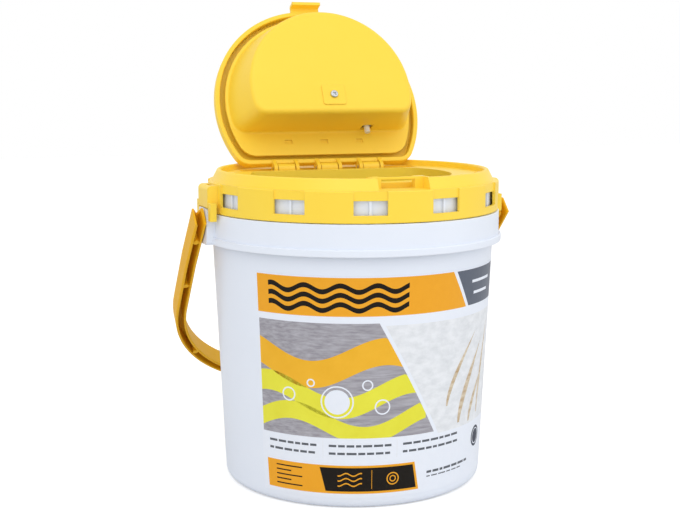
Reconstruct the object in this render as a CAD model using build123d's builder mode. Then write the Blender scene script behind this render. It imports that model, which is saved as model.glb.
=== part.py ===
"""Aerated bait bucket: an insulated pail, a lid with a hatch, and a battery air pump inside the hatch.

Frame: millimetres, +Z up, origin at the centre of the pail's base. The front, with the latch, faces -Y.
At rest the hatch stands open and the bail hangs behind the pail.
"""

import os
from math import cos, radians, sin, sqrt, tan

from build123d import *

os.makedirs("parts", exist_ok=True)


# ---- Driving dimensions -------------------------------------------------------------------------

# Modelling allowances
weld = 0.2  # a feature runs this far into the one it joins
past = 1.0  # a cut runs this far past the face it opens
edge_round = 0.7  # moulded edges of the pail and the lid

# Pail
base_radius = 104.2
shoulder_radius = 113.2  # wall radius where the collar starts
shoulder_height = 194.0
pail_wall = 2.4
base_thickness = 2.8
base_round = 7.0
collar_height = 23.9
collar_step = 4.8  # collar radius beyond the wall
collar_wall = 1.8
lip_height = 5.5
lip_step = 2.0  # lip radius beyond the collar
neck_step = 0.7  # neck radius inside the wall's
neck_height = 19.5  # collar top to rim top
bead_height = 2.7
bead_step = 1.7
window_count = 12
window_turn = 1.5  # degrees the windows and fins stand round from their even places
fin_thickness = 2.0

# Ears and pivots for the bail
ear_half_width = 12.0
ear_reach = 6.3  # ear face beyond the collar
ear_rise = 4.5  # ear top above the collar
pivot_drop = 10.9  # pivot axis below the collar's top
peg_radius = 4.0
peg_depth = 5.5
peg_room = 0.5  # past the peg's end in the ear
running_clearance = 0.1
ear_corner = 3.0

# Insulation
liner_thickness = 15.0
liner_gap = 0.4
liner_rim_drop = 25.0  # liner top below the pail's rim

# Lid
skirt_gap = 0.6
skirt_wall = 2.2
skirt_lift = 0.5  # skirt edge above the collar
seat_gap = 0.3
shelf_thickness = 4.0
shelf_width = 3.5
cone_height = 8.8
cone_run = 4.5
cone_round = 1.4
lid_wall = 2.2
crest_width = 3.2
bowl_depth = 4.8  # lid's floor below its crest
collar_drop = 16.0  # wall that hangs round the opening, below the lid's floor
window_width = 25.0
window_drop = 7.0  # window top below the shelf
window_height = 10.5
recess_depth = 1.8
seat_inset = 0.2
slit_length = 11.0
slit_width = 1.6
slit_pitch = 22.5
slit_inset = 4.3  # slits inside the crest
lid_ear_half_width = 15.0
lid_ear_gap = 0.3  # lid ears stand this far inside the pail ears' faces
lid_ear_drop = 1.5  # lid ear's top below the shelf
lid_ear_height = 17.0
lid_ear_round = 3.5
foot_width = 7.0
foot_drop = 5.0
foot_step = 5.0
foot_inset = 3.7
foot_height = 14.0
lid_ear_inset = 0.3
ear_slot_step = 2.0  # slot centre beyond the skirt
ear_slot_width = 3.0

# Hatch, shared by the cover, the tray and the lid's opening
hatch_lean = 25.5  # degrees past upright when open
hinge_back = 60.0  # hinge axis behind the pail's centre
hatch_centre = 57.0  # hinge axis to the centre of the hatch's round
cover_radius = 91.4
cover_chord = 5.0  # hinge axis to the cover's straight edge
cover_corner = 14.0
cover_depth = 10.0
cover_skin = 2.2
cover_rim = 4.0
cover_round = 4.0
rim_round = 0.9
rest_gap = 0.3

# Hinge
pin_radius = 2.0
eye_radius = 5.0
rib_thickness = 3.0
hinge_pitch = 38.0
rib_spread = 19.0  # between the two ribs beside one knuckle
knuckle_count = 3
knuckle_gap = 0.75
knuckle_step = 0.6  # knuckle radius inside the ribs
well_margin = 30.0  # hinge well beyond the outer ribs
well_corner = 4.0

# Latch
tab_half_width = 12.8
tab_reach = 5.5  # tab beyond the cover's round
tab_thickness = 2.6
tab_round = 2.4
tab_root_round = 1.2
hook_depth = 7.0
hook_thickness = 2.6
hook_room = 1.0
barb_height = 2.4
barb_reach = 1.0
latch_gap = 1.2
latch_floor_gap = 0.8  # under the hook
latch_slot_depth = 16.0
notch_half_width = 20.0
port_half_width = 13.4
port_sill = 0.3
port_lintel = 1.8

# Aerator tray
pocket_radius = 80.5
pocket_face_radius = 70.3
pocket_chord = 34.0
pocket_corner = 11.0
pocket_depth = 40.0
pocket_round = 4.0
pocket_root_round = 2.0
tray_wall = 2.2
flange_step = 2.5
flange_chord = 12.5
flange_corner = 16.0
slot_length = 6.5
slot_width = 3.4
slot_pitch = 32.0
slot_line = 24.5
slot_count = 3
slot_recess = 1.2
pad_length = 20.0
pad_width = 18.0
pad_height = 0.8
pad_corner = 2.0
pad_line = 50.0

# Aerator unit
case_gap = 1.0
case_wall = 2.0
case_sink = 0.5  # case rim below the tray's flange face
case_floor_gap = 0.4
plate_thickness = 2.5
gasket_thickness = 0.8
gasket_width = 3.0
boss_radius = 3.6
case_screw_radius = 1.5
case_screw_head = 2.8
case_screw_length = 12.0
boss_places = [(-61.0, 50.0), (61.0, 50.0), (-28.0, 113.0), (28.0, 113.0)]
screw_block_radius = 4.0
screw_block = 4.0
tray_screw_radius = 1.8
tray_screw_head = 3.3
tray_screw_length = 8.0
cell_radius = 17.1
cell_length = 60.0
cell_nub_radius = 4.7
cell_nub = 1.5
cell_play = 0.5
cell_gap = 1.4
cell_set_back = 1.8  # contacts stand off the case's straight wall
contact_thickness = 0.5
contact_size = 18.0
spring_radius = 6.0
spring_wall = 0.8
spring_travel = 2.5
door_overlap = 2.0
door_thickness = 1.6
door_gap = 0.2
door_tongue = 2.0
door_travel = 12.0
door_play = 0.3
grip_ridges = 5
grip_pitch = 2.4
grip_length = 16.0
grip_height = 0.5
hole_corner = 3.0
door_corner = 4.0
tongue_corner = 2.5
switch_place = (-55.0, 66.0)
switch_length = 19.4
switch_width = 12.4
switch_depth = 14.8
switch_bezel = 0.8
switch_lip = 1.3
switch_play = 0.2
switch_corner = 1.5
terminal_spread = 3.0
terminal_thickness = 0.8
terminal_size = 4.0
cavity_play = 0.3
rocker_reach = 7.5
rocker_width = 9.4
rocker_crown = 3.0
rocker_belly = 2.5
rocker_sink = 1.6  # rocker axle below the cover plate's outer face
rocker_swing = 14.0
rocker_axle = 1.2
axle_stub = 0.8
motor_radius = 12.0
motor_length = 24.0
motor_gap = 1.6  # motor to the cell beside it
motor_depth = 14.0
shaft_radius = 1.0
shaft_socket = 9.0
shaft_end_gap = 0.5
crank_radius = 5.0
crank_width = 3.0
crank_throw = 1.0
crank_pin_length = 6.0
crank_stand_off = 1.6
motor_stand_off = 1.3
motor_chamfer = 0.8
arm_thickness = 2.4
arm_width = 4.0
arm_eye = 4.0
arm_play = 0.2
pump_line = 55.7
pump_radius = 9.0
pump_wall = 2.5
diaphragm_depth = 22.0
diaphragm_thickness = 1.2
chamber_depth = 4.0
manifold_depth = 6.0
spigot_radius = 1.8
spigot_length = 4.0
tube_wall = 1.0
nozzle_place = (38.0, 7.0)  # right of centre, and depth below the tray's flange
nozzle_radius = 2.4
nozzle_bore = 1.1
nozzle_reach = 5.0
nozzle_inside = 4.8
elbow_radius = 3.4
port_size = 10.0
port_corner = 1.5
lead_radius = 0.6
lead_gap = 0.2
lead_bend = 3.0

# Bail
bail_tilt = 45.0  # degrees below level at rest
bail_reach = 226.0
bail_side_gap = 0.6  # bail to the ear beside it
bail_straight = 40.0
bail_draw_in = 1.6  # degrees the arms lean in above the straight
bail_band = 9.0
bail_width = 16.5
bail_wall = 2.0
bail_round = 1.0
bail_tail = 14.0
bail_notch = 6.0
bail_rib_line = 10.0  # first rib beyond the pivot
bail_rib_pitch = 58.0
bail_rib_thickness = 1.6
bail_rib_count = 7
bail_rib_start = 11.6  # degrees above the arc's ends
bail_rib_sink = 0.8
bail_post_radius = 2.4
notch_share = 0.36  # half the notch over the band's width

# Label
label_half_angle = 60.0
label_bottom = 9.0
label_top = 179.0
label_thickness = 0.2
label_glue = 0.05


# ---- Derived places -----------------------------------------------------------------------------

collar_top = shoulder_height + collar_height
collar_radius = shoulder_radius + collar_step
lip_radius = collar_radius + lip_step
neck_radius = shoulder_radius - neck_step
bead_radius = neck_radius + bead_step
rim_top = collar_top + neck_height
ear_face = collar_radius + ear_reach
pivot_height = collar_top - pivot_drop
bail_half_width = ear_face + bail_side_gap + bail_band / 2
wall_slope = (shoulder_radius - base_radius) / shoulder_height

skirt_inner = bead_radius + skirt_gap
skirt_radius = skirt_inner + skirt_wall
skirt_bottom = collar_top + skirt_lift
seat_height = rim_top + seat_gap
shelf_top = seat_height + shelf_thickness
cone_base_radius = skirt_radius - shelf_width
cone_top_radius = cone_base_radius - cone_run
lid_top = shelf_top + cone_height
bowl_radius = cone_top_radius - crest_width
floor_face = lid_top - bowl_depth
floor_bottom = floor_face - lid_wall
lid_ear_face = ear_face - lid_ear_gap
lid_ear_top = shelf_top - lid_ear_drop

hinge_z = floor_face + rest_gap
deck_top = hinge_z - eye_radius - rest_gap * 2
flange_radius = pocket_radius + flange_step
opening_radius = pocket_radius + 0.8
opening_chord = flange_chord + 2.0
knuckle_places = [(index - (knuckle_count - 1) / 2) * hinge_pitch for index in range(knuckle_count)]
hinge_half_span = hinge_pitch * (knuckle_count - 1) / 2 + rib_spread / 2
well_half_width = hinge_half_span + well_margin
lean_sin = sin(radians(hatch_lean))
lean_cos = cos(radians(hatch_lean))
stop_run = (floor_face - hinge_z + cover_depth * lean_sin) / lean_cos
well_back = hinge_back + stop_run * lean_sin + cover_depth * lean_cos + rest_gap

# Local frames. In the hatch's frame x is to the right, y runs from the hinge to the latch edge and z runs
# into the bucket, so the cover's outside has negative z.
hatch = Plane(origin=(0, hinge_back, hinge_z), x_dir=(1, 0, 0), z_dir=(0, -lean_cos, lean_sin))
depth_axis = Axis(hatch.origin, hatch.z_dir)
bail_sin = sin(radians(bail_tilt))
bail_cos = cos(radians(bail_tilt))
bail_plane = Plane(origin=(0, 0, pivot_height), x_dir=(1, 0, 0), z_dir=(0, bail_sin, bail_cos))


def local_plane(base, origin, normal, across=(1, 0, 0)):
    """A plane whose origin, normal and x direction are given in another plane's frame."""
    return Plane(
        origin=base.from_local_coords(Vector(*origin)),
        x_dir=base.from_local_coords(Vector(*across)) - base.origin,
        z_dir=base.from_local_coords(Vector(*normal)) - base.origin,
    )


def chord_disc(plane, radius, chord, corner, centre=hatch_centre):
    """A round outline cut off along a straight edge, the shape of the hatch and all that nests in it."""
    half_chord = sqrt(radius**2 - (centre - chord) ** 2)
    with BuildSketch(plane) as outline:
        with BuildLine():
            Line((-half_chord, chord), (half_chord, chord))
            ThreePointArc((half_chord, chord), (0, centre + radius), (-half_chord, chord))
        make_face()
        fillet(outline.vertices(), corner)
    return outline.sketch


def d_loft(plane, top, bottom, inset, radii=(pocket_radius, pocket_face_radius)):
    """The pocket's tapering D shape between two depths, drawn in by an inset on every side."""
    slope = (radii[1] - radii[0]) / pocket_depth
    sections = [
        chord_disc(
            plane.offset(depth),
            radii[0] + slope * depth - inset,
            pocket_chord + inset,
            pocket_corner - min(inset, pocket_corner - 1),
        )
        for depth in (top, bottom)
    ]
    return sections


def save(builder, name):
    """Label a finished piece and write it to its own file."""
    builder.part.label = name
    export_step(builder.part, f"parts/{name}.step")


def corners(sketch, *places):
    """The vertices of a profile that lie at the given places in its own plane."""
    return [sketch.vertices().sort_by_distance((across, up, 0))[0] for across, up in places]


def wall_radius(height):
    """Outer radius of the pail's tapering wall at a height."""
    return base_radius + wall_slope * height


# ---- Pail ---------------------------------------------------------------------------------------

web_height = collar_top - collar_wall
window_start = 180 / window_count + window_turn
pail_profile = [
    (0, 0),
    (base_radius, 0),
    (shoulder_radius, shoulder_height),
    (neck_radius, web_height),
    (collar_radius - collar_wall, web_height),
    (collar_radius - collar_wall, shoulder_height),
    (lip_radius, shoulder_height),
    (lip_radius, shoulder_height + lip_height),
    (collar_radius, shoulder_height + lip_height),
    (collar_radius, collar_top),
    (neck_radius, collar_top),
    (neck_radius, rim_top - bead_height),
    (bead_radius, rim_top - bead_height),
    (bead_radius, rim_top),
    (neck_radius - pail_wall, rim_top),
    (shoulder_radius - pail_wall, shoulder_height),
    (wall_radius(base_thickness) - pail_wall, base_thickness),
    (0, base_thickness),
]
ear_root = collar_radius - collar_wall + weld
fin_inner = neck_radius - pail_wall / 2
with BuildPart() as pail:
    with BuildSketch(Plane.XZ) as section:
        with BuildLine():
            Polyline(*pail_profile, close=True)
        make_face()
        fillet(corners(section, (base_radius, 0)), base_round)
        collar_corners = (
            (lip_radius, shoulder_height),
            (lip_radius, shoulder_height + lip_height),
            (collar_radius, collar_top),
            (bead_radius, rim_top),
            (bead_radius, rim_top - bead_height),
            (neck_radius - pail_wall, rim_top),
        )
        fillet(corners(section, *collar_corners), edge_round)
    revolve(axis=Axis.Z)
    with BuildSketch(Plane.XY.offset(web_height)):
        with PolarLocations((fin_inner + bead_radius) / 2, window_count, window_start):
            Rectangle(bead_radius - fin_inner, fin_thickness)
    extrude(amount=rim_top - bead_height - web_height + weld)
    for side in (1, -1):
        ear_plane = Plane(origin=(side * ear_root, 0, 0), x_dir=(0, side, 0), z_dir=(side, 0, 0))
        with BuildSketch(ear_plane):
            with Locations((0, (shoulder_height + collar_top) / 2)):
                RectangleRounded(ear_half_width * 2, collar_height, ear_corner)
        extrude(amount=ear_face - ear_root)
        # The ear's outer wall stands up beside the lid's skirt
        with BuildSketch(ear_plane.offset(collar_radius - ear_root)):
            with Locations((0, (shoulder_height + collar_top + ear_rise) / 2)):
                RectangleRounded(ear_half_width * 2, collar_height + ear_rise, ear_corner)
        extrude(amount=ear_face - collar_radius)
        with BuildSketch(ear_plane.offset(ear_face - ear_root)):
            with Locations((0, pivot_height)):
                Circle(peg_radius + running_clearance)
        extrude(amount=-(peg_depth + peg_room), mode=Mode.SUBTRACT)
save(pail, "pail")

# ---- Insulation ---------------------------------------------------------------------------------

liner_top = rim_top - liner_rim_drop
liner_bottom = base_thickness + liner_gap
liner_foot = wall_radius(liner_bottom) - pail_wall - liner_gap
liner_shoulder = shoulder_radius - pail_wall - liner_gap
liner_neck = neck_radius - pail_wall - liner_gap
with BuildPart() as foam_sleeve:
    with BuildSketch(Plane.XZ):
        with BuildLine():
            Polyline(
                (liner_foot, liner_bottom),
                (liner_shoulder, shoulder_height),
                (liner_neck, liner_top),
                (liner_neck - liner_thickness, liner_top),
                (liner_foot - liner_thickness, liner_bottom),
                close=True,
            )
        make_face()
    revolve(axis=Axis.Z)
save(foam_sleeve, "foam_sleeve")

with BuildPart() as foam_base:
    with BuildSketch(Plane.XY.offset(liner_bottom)):
        Circle(liner_foot - liner_thickness - liner_gap)
    extrude(amount=liner_thickness)
save(foam_base, "foam_base")

# ---- Label --------------------------------------------------------------------------------------

with BuildPart() as pail_label:
    with BuildSketch(Plane.XZ.rotated((0, 0, -90 - label_half_angle))):
        with BuildLine():
            Polyline(
                (wall_radius(label_bottom) + label_glue, label_bottom),
                (wall_radius(label_bottom) + label_glue + label_thickness, label_bottom),
                (wall_radius(label_top) + label_glue + label_thickness, label_top),
                (wall_radius(label_top) + label_glue, label_top),
                close=True,
            )
        make_face()
    revolve(axis=Axis.Z, revolution_arc=label_half_angle * 2)
save(pail_label, "pail_label")

# ---- Lid ----------------------------------------------------------------------------------------

rim_seat_radius = neck_radius - pail_wall + seat_inset
deck_bottom = deck_top - lid_wall
shut = Plane(origin=(0, hinge_back, 0), x_dir=(1, 0, 0), z_dir=(0, 0, -1))  # hatch outlines laid flat
tab_front = hatch_centre + cover_radius + tab_reach - hinge_back  # ahead of the pail's centre
slot_front = tab_front + latch_gap + hook_room
hook_slot = hook_thickness + latch_gap * 2 + hook_room
slot_half_width = tab_half_width + latch_gap
face_front = slot_front + lid_wall
latch_floor = hinge_z - hook_depth - latch_floor_gap
notch_wall = notch_half_width + lid_wall
slot_back = slot_front - hook_slot
lid_profile = [
    (skirt_inner, skirt_bottom),
    (skirt_radius, skirt_bottom),
    (skirt_radius, shelf_top),
    (cone_base_radius, shelf_top),
    (cone_top_radius, lid_top),
    (bowl_radius, lid_top),
    (bowl_radius, floor_face),
    (0, floor_face),
    (0, floor_bottom),
    (bowl_radius, floor_bottom),
    (rim_seat_radius, seat_height),
    (skirt_inner, seat_height),
]


def well_outline(height, grow):
    """The hinge well seen from above, rounded behind, grown by a wall on its back and ends."""
    with BuildSketch(Plane.XY.offset(height)) as outline:
        with Locations((0, hinge_back - opening_chord + lid_wall * 2 - grow)):
            Rectangle(
                (well_half_width + grow) * 2,
                well_back + grow * 2 - hinge_back + opening_chord - lid_wall * 2,
                align=(Align.CENTER, Align.MIN),
            )
        fillet(outline.vertices().group_by(Axis.Y)[-1], well_corner + grow)
    return outline.sketch


def latch_box(half_width, front, back, bottom, top, mode=Mode.ADD):
    """A box across the front, between two distances ahead of the pail's centre and two heights."""
    with Locations((0, -front, bottom)):
        Box(
            half_width * 2,
            front - back,
            top - bottom,
            align=(Align.CENTER, Align.MIN, Align.MIN),
            mode=mode,
        )


with BuildPart() as lid:
    with BuildSketch(Plane.XZ) as section:
        with BuildLine():
            Polyline(*lid_profile, close=True)
        make_face()
        fillet(corners(section, (skirt_radius, skirt_bottom), (skirt_radius, shelf_top)), edge_round)
        fillet(corners(section, (cone_top_radius, lid_top), (bowl_radius, lid_top)), cone_round)
    revolve(axis=Axis.Z)
    # The hinge well, and the wall that hangs round the opening
    extrude(well_outline(deck_bottom, lid_wall), floor_bottom + weld - deck_bottom)
    extrude(
        chord_disc(
            shut.offset(collar_drop - floor_face),
            opening_radius + lid_wall,
            opening_chord - lid_wall,
            cover_corner + lid_wall,
        ),
        -(collar_drop - lid_wall + weld),
    )
    # The latch's block and its pocket's walls, and the notch's floor and sides
    latch_box(notch_wall, bowl_radius, face_front, floor_bottom, lid_top)
    latch_box(notch_wall, face_front + weld, slot_back, floor_bottom, lid_top)
    latch_box(
        slot_half_width + lid_wall,
        face_front,
        slot_back - lid_wall,
        latch_floor - lid_wall,
        floor_bottom + weld,
    )
    latch_box(notch_wall, rim_seat_radius, slot_front, shelf_top - lid_wall, floor_bottom + weld)
    # The hinge well's room and the opening itself
    extrude(well_outline(deck_top, 0), lid_top, mode=Mode.SUBTRACT)
    extrude(
        chord_disc(shut.offset(-lid_top - past), opening_radius, opening_chord, cover_corner),
        lid_top,
        mode=Mode.SUBTRACT,
    )
    # Latch: a notch through the crest, a slot for the cover's tab, a pocket for its hook and a port
    cut_top = lid_top + past
    tab_slot_back = slot_front - latch_slot_depth
    port_bottom = shelf_top + port_sill
    port_top = lid_top - port_lintel
    latch_box(notch_half_width, skirt_radius, face_front, shelf_top, cut_top, Mode.SUBTRACT)
    latch_box(slot_half_width, slot_front, tab_slot_back, floor_face, cut_top, Mode.SUBTRACT)
    latch_box(slot_half_width, slot_front, slot_back, latch_floor, cut_top, Mode.SUBTRACT)
    latch_box(port_half_width, face_front + past, slot_front - past, port_bottom, port_top, Mode.SUBTRACT)
    # Vent slits round the floor, clear of the latch and the hinge well
    slit_line = bowl_radius - slit_inset
    with BuildSketch(Plane.XY.offset(floor_bottom - past)):
        for count, first in ((5, -3), (3, 3), (5, 7)):
            with PolarLocations(slit_line, count, first * slit_pitch, (count - 1) * slit_pitch):
                Rectangle(slit_width, slit_length)
    extrude(amount=lid_wall + past * 2, mode=Mode.SUBTRACT)
    # Windows in the skirt, each with a shallow recess above it
    with BuildSketch(Plane.XY.offset(shelf_top - window_drop - window_height)):
        with PolarLocations(skirt_radius, window_count, window_start):
            Rectangle(skirt_wall * 4, window_width)
    extrude(amount=window_height, mode=Mode.SUBTRACT)
    with BuildSketch(Plane.XY.offset(shelf_top - window_drop)):
        with PolarLocations(skirt_radius, window_count, window_start):
            Rectangle(recess_depth * 2, window_width)
    extrude(amount=window_drop + past, mode=Mode.SUBTRACT)
    # Ears over the bail's pivots, with a foot on each side
    lid_ear_root = skirt_inner + lid_ear_inset
    ear_depth = lid_ear_face - lid_ear_root
    for side in (1, -1):
        ear_back = Plane.XZ.offset(-lid_ear_half_width)
        with BuildSketch(ear_back) as ear_section:
            with Locations((side * (lid_ear_root + ear_depth / 2), lid_ear_top - lid_ear_height / 2)):
                Rectangle(ear_depth, lid_ear_height)
            fillet(corners(ear_section, (side * lid_ear_face, lid_ear_top)), lid_ear_round)
        extrude(amount=lid_ear_half_width * 2)
        with BuildSketch(Plane.XY.offset(lid_ear_top - lid_ear_height)):
            with Locations((side * (skirt_radius + lid_ear_face - lid_wall) / 2, 0)):
                Rectangle(lid_ear_face - lid_wall - skirt_radius, (lid_ear_half_width - lid_wall) * 2)
        extrude(amount=lid_ear_height - lid_wall - lid_ear_round / 2, mode=Mode.SUBTRACT)
        with BuildSketch(Plane.XY.offset(lid_ear_top - lid_ear_height / 2)):
            with Locations((side * (skirt_radius + ear_slot_step), 0)):
                Rectangle(ear_slot_width, lid_ear_half_width)
        extrude(amount=lid_ear_height, mode=Mode.SUBTRACT)
    for side in (1, -1):
        for end in (1, -1):
            foot_y = end * (lid_ear_half_width + foot_width / 2)
            foot_x = side * (skirt_inner + foot_inset + foot_step / 2)
            with BuildSketch(Plane.XY.offset(skirt_bottom - foot_drop)):
                with Locations((foot_x, foot_y)):
                    Rectangle(foot_step, foot_width)
            extrude(amount=foot_height)
    # Knuckles
    knuckle_width = rib_spread - rib_thickness - knuckle_gap * 2
    knuckle_radius = eye_radius - knuckle_step
    for knuckle_x in knuckle_places:
        knuckle_plane = Plane.YZ.offset(knuckle_x - knuckle_width / 2)
        with BuildSketch(knuckle_plane):
            with Locations((hinge_back, hinge_z)):
                Circle(knuckle_radius)
            with Locations((hinge_back, deck_bottom)):
                Rectangle(knuckle_radius * 2, hinge_z - deck_bottom, align=(Align.CENTER, Align.MIN))
        extrude(amount=knuckle_width)
        with BuildSketch(knuckle_plane):
            with Locations((hinge_back, hinge_z)):
                Circle(pin_radius)
        extrude(amount=knuckle_width, mode=Mode.SUBTRACT)
save(lid, "lid")

pin_half_length = (rib_spread + rib_thickness) / 2
with BuildPart() as hinge_pins:
    for knuckle_x in knuckle_places:
        with BuildSketch(Plane.YZ.offset(knuckle_x - pin_half_length)):
            with Locations((hinge_back, hinge_z)):
                Circle(pin_radius)
        extrude(amount=pin_half_length * 2)
save(hinge_pins, "hinge_pins")

# ---- Hatch cover --------------------------------------------------------------------------------

tab_end = hatch_centre + cover_radius + tab_reach
with BuildPart() as hatch_cover:
    extrude(chord_disc(hatch, cover_radius, cover_chord, cover_corner), -cover_depth)
    fillet(hatch_cover.faces().sort_by(depth_axis)[0].edges(), cover_round)
    extrude(
        chord_disc(hatch, cover_radius - cover_rim, cover_chord + cover_rim, cover_corner - cover_rim),
        -(cover_depth - cover_skin),
        mode=Mode.SUBTRACT,
    )
    fillet(hatch_cover.faces().sort_by(depth_axis)[-1].edges(), rim_round)
    # Ribs that carry the hinge eyes
    for knuckle_x in knuckle_places:
        for side in (-1, 1):
            rib_x = knuckle_x + side * rib_spread / 2
            rib_plane = local_plane(hatch, (rib_x - rib_thickness / 2, 0, 0), (1, 0, 0), (0, 1, 0))
            with BuildSketch(rib_plane):
                Circle(eye_radius)
                with BuildLine():
                    Polyline(
                        (0, -eye_radius),
                        (cover_chord + cover_rim, -(cover_depth - cover_round)),
                        (cover_chord + cover_rim, -rest_gap),
                        (eye_radius * 0.6, eye_radius * 0.8),
                        (0, 0),
                        close=True,
                    )
                make_face()
            extrude(amount=rib_thickness)
            with BuildSketch(rib_plane):
                Circle(pin_radius + running_clearance)
            extrude(amount=rib_thickness, mode=Mode.SUBTRACT)
    # Latch tab and its hook
    tab_plane = local_plane(hatch, (-tab_half_width, 0, 0), (1, 0, 0), (0, 1, 0))
    tab_root = tab_end - tab_reach - cover_rim
    with BuildSketch(tab_plane) as tab_section:
        with BuildLine():
            Polyline(
                (tab_root, -tab_thickness),
                (tab_end, -tab_thickness),
                (tab_end, hook_depth),
                (tab_end - hook_thickness, hook_depth),
                (tab_end - hook_thickness, 0),
                (tab_root, 0),
                close=True,
            )
        make_face()
        fillet(corners(tab_section, (tab_end, -tab_thickness)), tab_round)
        fillet(corners(tab_section, (tab_end - hook_thickness, 0)), tab_root_round)
    extrude(amount=tab_half_width * 2)
    barb_plane = local_plane(hatch, (-tab_half_width, tab_end, hook_depth), (1, 0, 0), (0, 1, 0))
    with BuildSketch(barb_plane):
        with BuildLine():
            Polyline((0, 0), (0, -barb_height), (barb_reach, -barb_height * 2 / 3), close=True)
        make_face()
    extrude(amount=tab_half_width * 2)
save(hatch_cover, "hatch_cover")

# ---- Aerator tray -------------------------------------------------------------------------------

face_inner = pocket_depth - tray_wall
nozzle_x, nozzle_depth = nozzle_place
with BuildPart() as aerator_tray:
    extrude(chord_disc(hatch, flange_radius, flange_chord, flange_corner), -tray_wall)
    loft(d_loft(hatch, 0, pocket_depth, 0))
    flange_face = aerator_tray.faces().filter_by(lambda face: len(face.inner_wires()) == 1)[0]
    fillet(flange_face.inner_wires()[0].edges(), pocket_root_round)
    fillet(aerator_tray.faces().sort_by(depth_axis)[-1].edges(), pocket_round)
    loft(d_loft(hatch, -tray_wall, face_inner, tray_wall), mode=Mode.SUBTRACT)
    with BuildSketch(hatch.offset(face_inner)):
        with Locations((0, pad_line)):
            RectangleRounded(pad_length, pad_width, pad_corner)
    extrude(amount=tray_wall + pad_height)
    with BuildSketch(hatch.offset(face_inner - past)):
        with Locations((0, pad_line)):
            Circle(tray_screw_radius)
    extrude(amount=tray_wall + pad_height + past * 2, mode=Mode.SUBTRACT)
    with BuildSketch(hatch):
        with Locations((0, slot_line)):
            with GridLocations(slot_pitch, 1, slot_count, 1):
                Rectangle(slot_length, slot_width)
    extrude(amount=-slot_recess, mode=Mode.SUBTRACT)
    port_plane = local_plane(hatch, (nozzle_x, pocket_chord - past, nozzle_depth), (0, 1, 0))
    with BuildSketch(port_plane):
        RectangleRounded(port_size, port_size, port_corner)
    extrude(amount=tray_wall + past * 2, mode=Mode.SUBTRACT)
save(aerator_tray, "aerator_tray")

case_bottom = face_inner - case_floor_gap
case_inset = tray_wall + case_gap
inner_inset = case_inset + case_wall
case_chord = pocket_chord + case_inset
inner_chord = pocket_chord + inner_inset
floor_top = case_bottom - case_wall
with BuildPart() as aerator_case:
    loft(d_loft(hatch, case_sink, case_bottom, case_inset))
    loft(d_loft(hatch, case_sink, floor_top, inner_inset), mode=Mode.SUBTRACT)
    with BuildSketch(hatch.offset(case_sink)):
        with Locations(*boss_places):
            Circle(boss_radius)
    extrude(amount=floor_top - case_sink + weld)
    with BuildSketch(hatch.offset(case_sink)):
        with Locations(*boss_places):
            Circle(case_screw_radius)
    extrude(amount=case_screw_length, mode=Mode.SUBTRACT)
    with BuildSketch(hatch.offset(floor_top - screw_block)):
        with Locations((0, pad_line)):
            Circle(screw_block_radius)
    extrude(amount=screw_block + weld)
    with BuildSketch(hatch.offset(case_bottom)):
        with Locations((0, pad_line)):
            Circle(tray_screw_radius)
    extrude(amount=-(screw_block + past), mode=Mode.SUBTRACT)
    nozzle_plane = local_plane(hatch, (nozzle_x, case_chord - past, nozzle_depth), (0, 1, 0))
    with BuildSketch(nozzle_plane):
        Circle(nozzle_radius)
    extrude(amount=case_wall + past * 2, mode=Mode.SUBTRACT)
save(aerator_case, "aerator_case")

pad_face = pocket_depth + pad_height
head_height = tray_screw_head / 2
with BuildPart() as tray_screw:
    with BuildSketch(hatch.offset(pad_face)):
        with Locations((0, pad_line)):
            Circle(tray_screw_radius)
    extrude(amount=-tray_screw_length)
    with BuildSketch(hatch.offset(pad_face)):
        with Locations((0, pad_line)):
            Circle(tray_screw_head)
    extrude(amount=head_height)
    fillet(tray_screw.faces().sort_by(depth_axis)[-1].edges(), head_height * 0.6)
    with BuildSketch(hatch.offset(pad_face + head_height)):
        with Locations((0, pad_line)):
            for angle in (45, 135):
                Rectangle(tray_screw_head, tray_screw_head / 4, rotation=angle)
    extrude(amount=-head_height * 0.7, mode=Mode.SUBTRACT)
save(tray_screw, "tray_screw")

# ---- Aerator unit: cover plate, gasket and screws -----------------------------------------------

gasket_top = case_sink - gasket_thickness
plate_top = gasket_top - plate_thickness
cell_offset = cell_radius + cell_gap / 2
contact_line = inner_chord + cell_set_back
cells_end = contact_line + contact_thickness + cell_nub + cell_length + spring_travel
cell_depth = floor_top - cell_play - cell_radius
hole_half_width = cell_offset + cell_radius + door_overlap
hole_start = inner_chord + door_overlap
hole_end = cells_end + contact_thickness
hole_middle = (hole_start + hole_end) / 2
plate_radius = pocket_radius - case_inset
plate_corner = pocket_corner - case_inset
gasket_plane = hatch.offset(case_sink)
gasket_hole = chord_disc(
    gasket_plane,
    plate_radius - gasket_width,
    case_chord + gasket_width,
    plate_corner - gasket_width / 2,
)
with BuildPart() as case_gasket:
    extrude(chord_disc(gasket_plane, plate_radius, case_chord, plate_corner), -gasket_thickness)
    extrude(gasket_hole, -gasket_thickness, mode=Mode.SUBTRACT)
save(case_gasket, "case_gasket")

with BuildPart() as case_plate:
    extrude(chord_disc(hatch.offset(gasket_top), plate_radius, case_chord, plate_corner), -plate_thickness)
    with BuildSketch(hatch.offset(gasket_top)):
        with Locations((0, hole_middle)):
            RectangleRounded(hole_half_width * 2, hole_end - hole_start, hole_corner)
        with Locations(switch_place):
            Rectangle(switch_width + switch_play * 2, switch_length + switch_play * 2)
        with Locations(*boss_places):
            Circle(case_screw_radius)
    extrude(amount=-plate_thickness, mode=Mode.SUBTRACT)
    with BuildSketch(hatch.offset(plate_top)):
        with Locations(*boss_places):
            Circle(case_screw_head)
    extrude(amount=plate_thickness / 2, mode=Mode.SUBTRACT)
save(case_plate, "case_plate")

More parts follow.
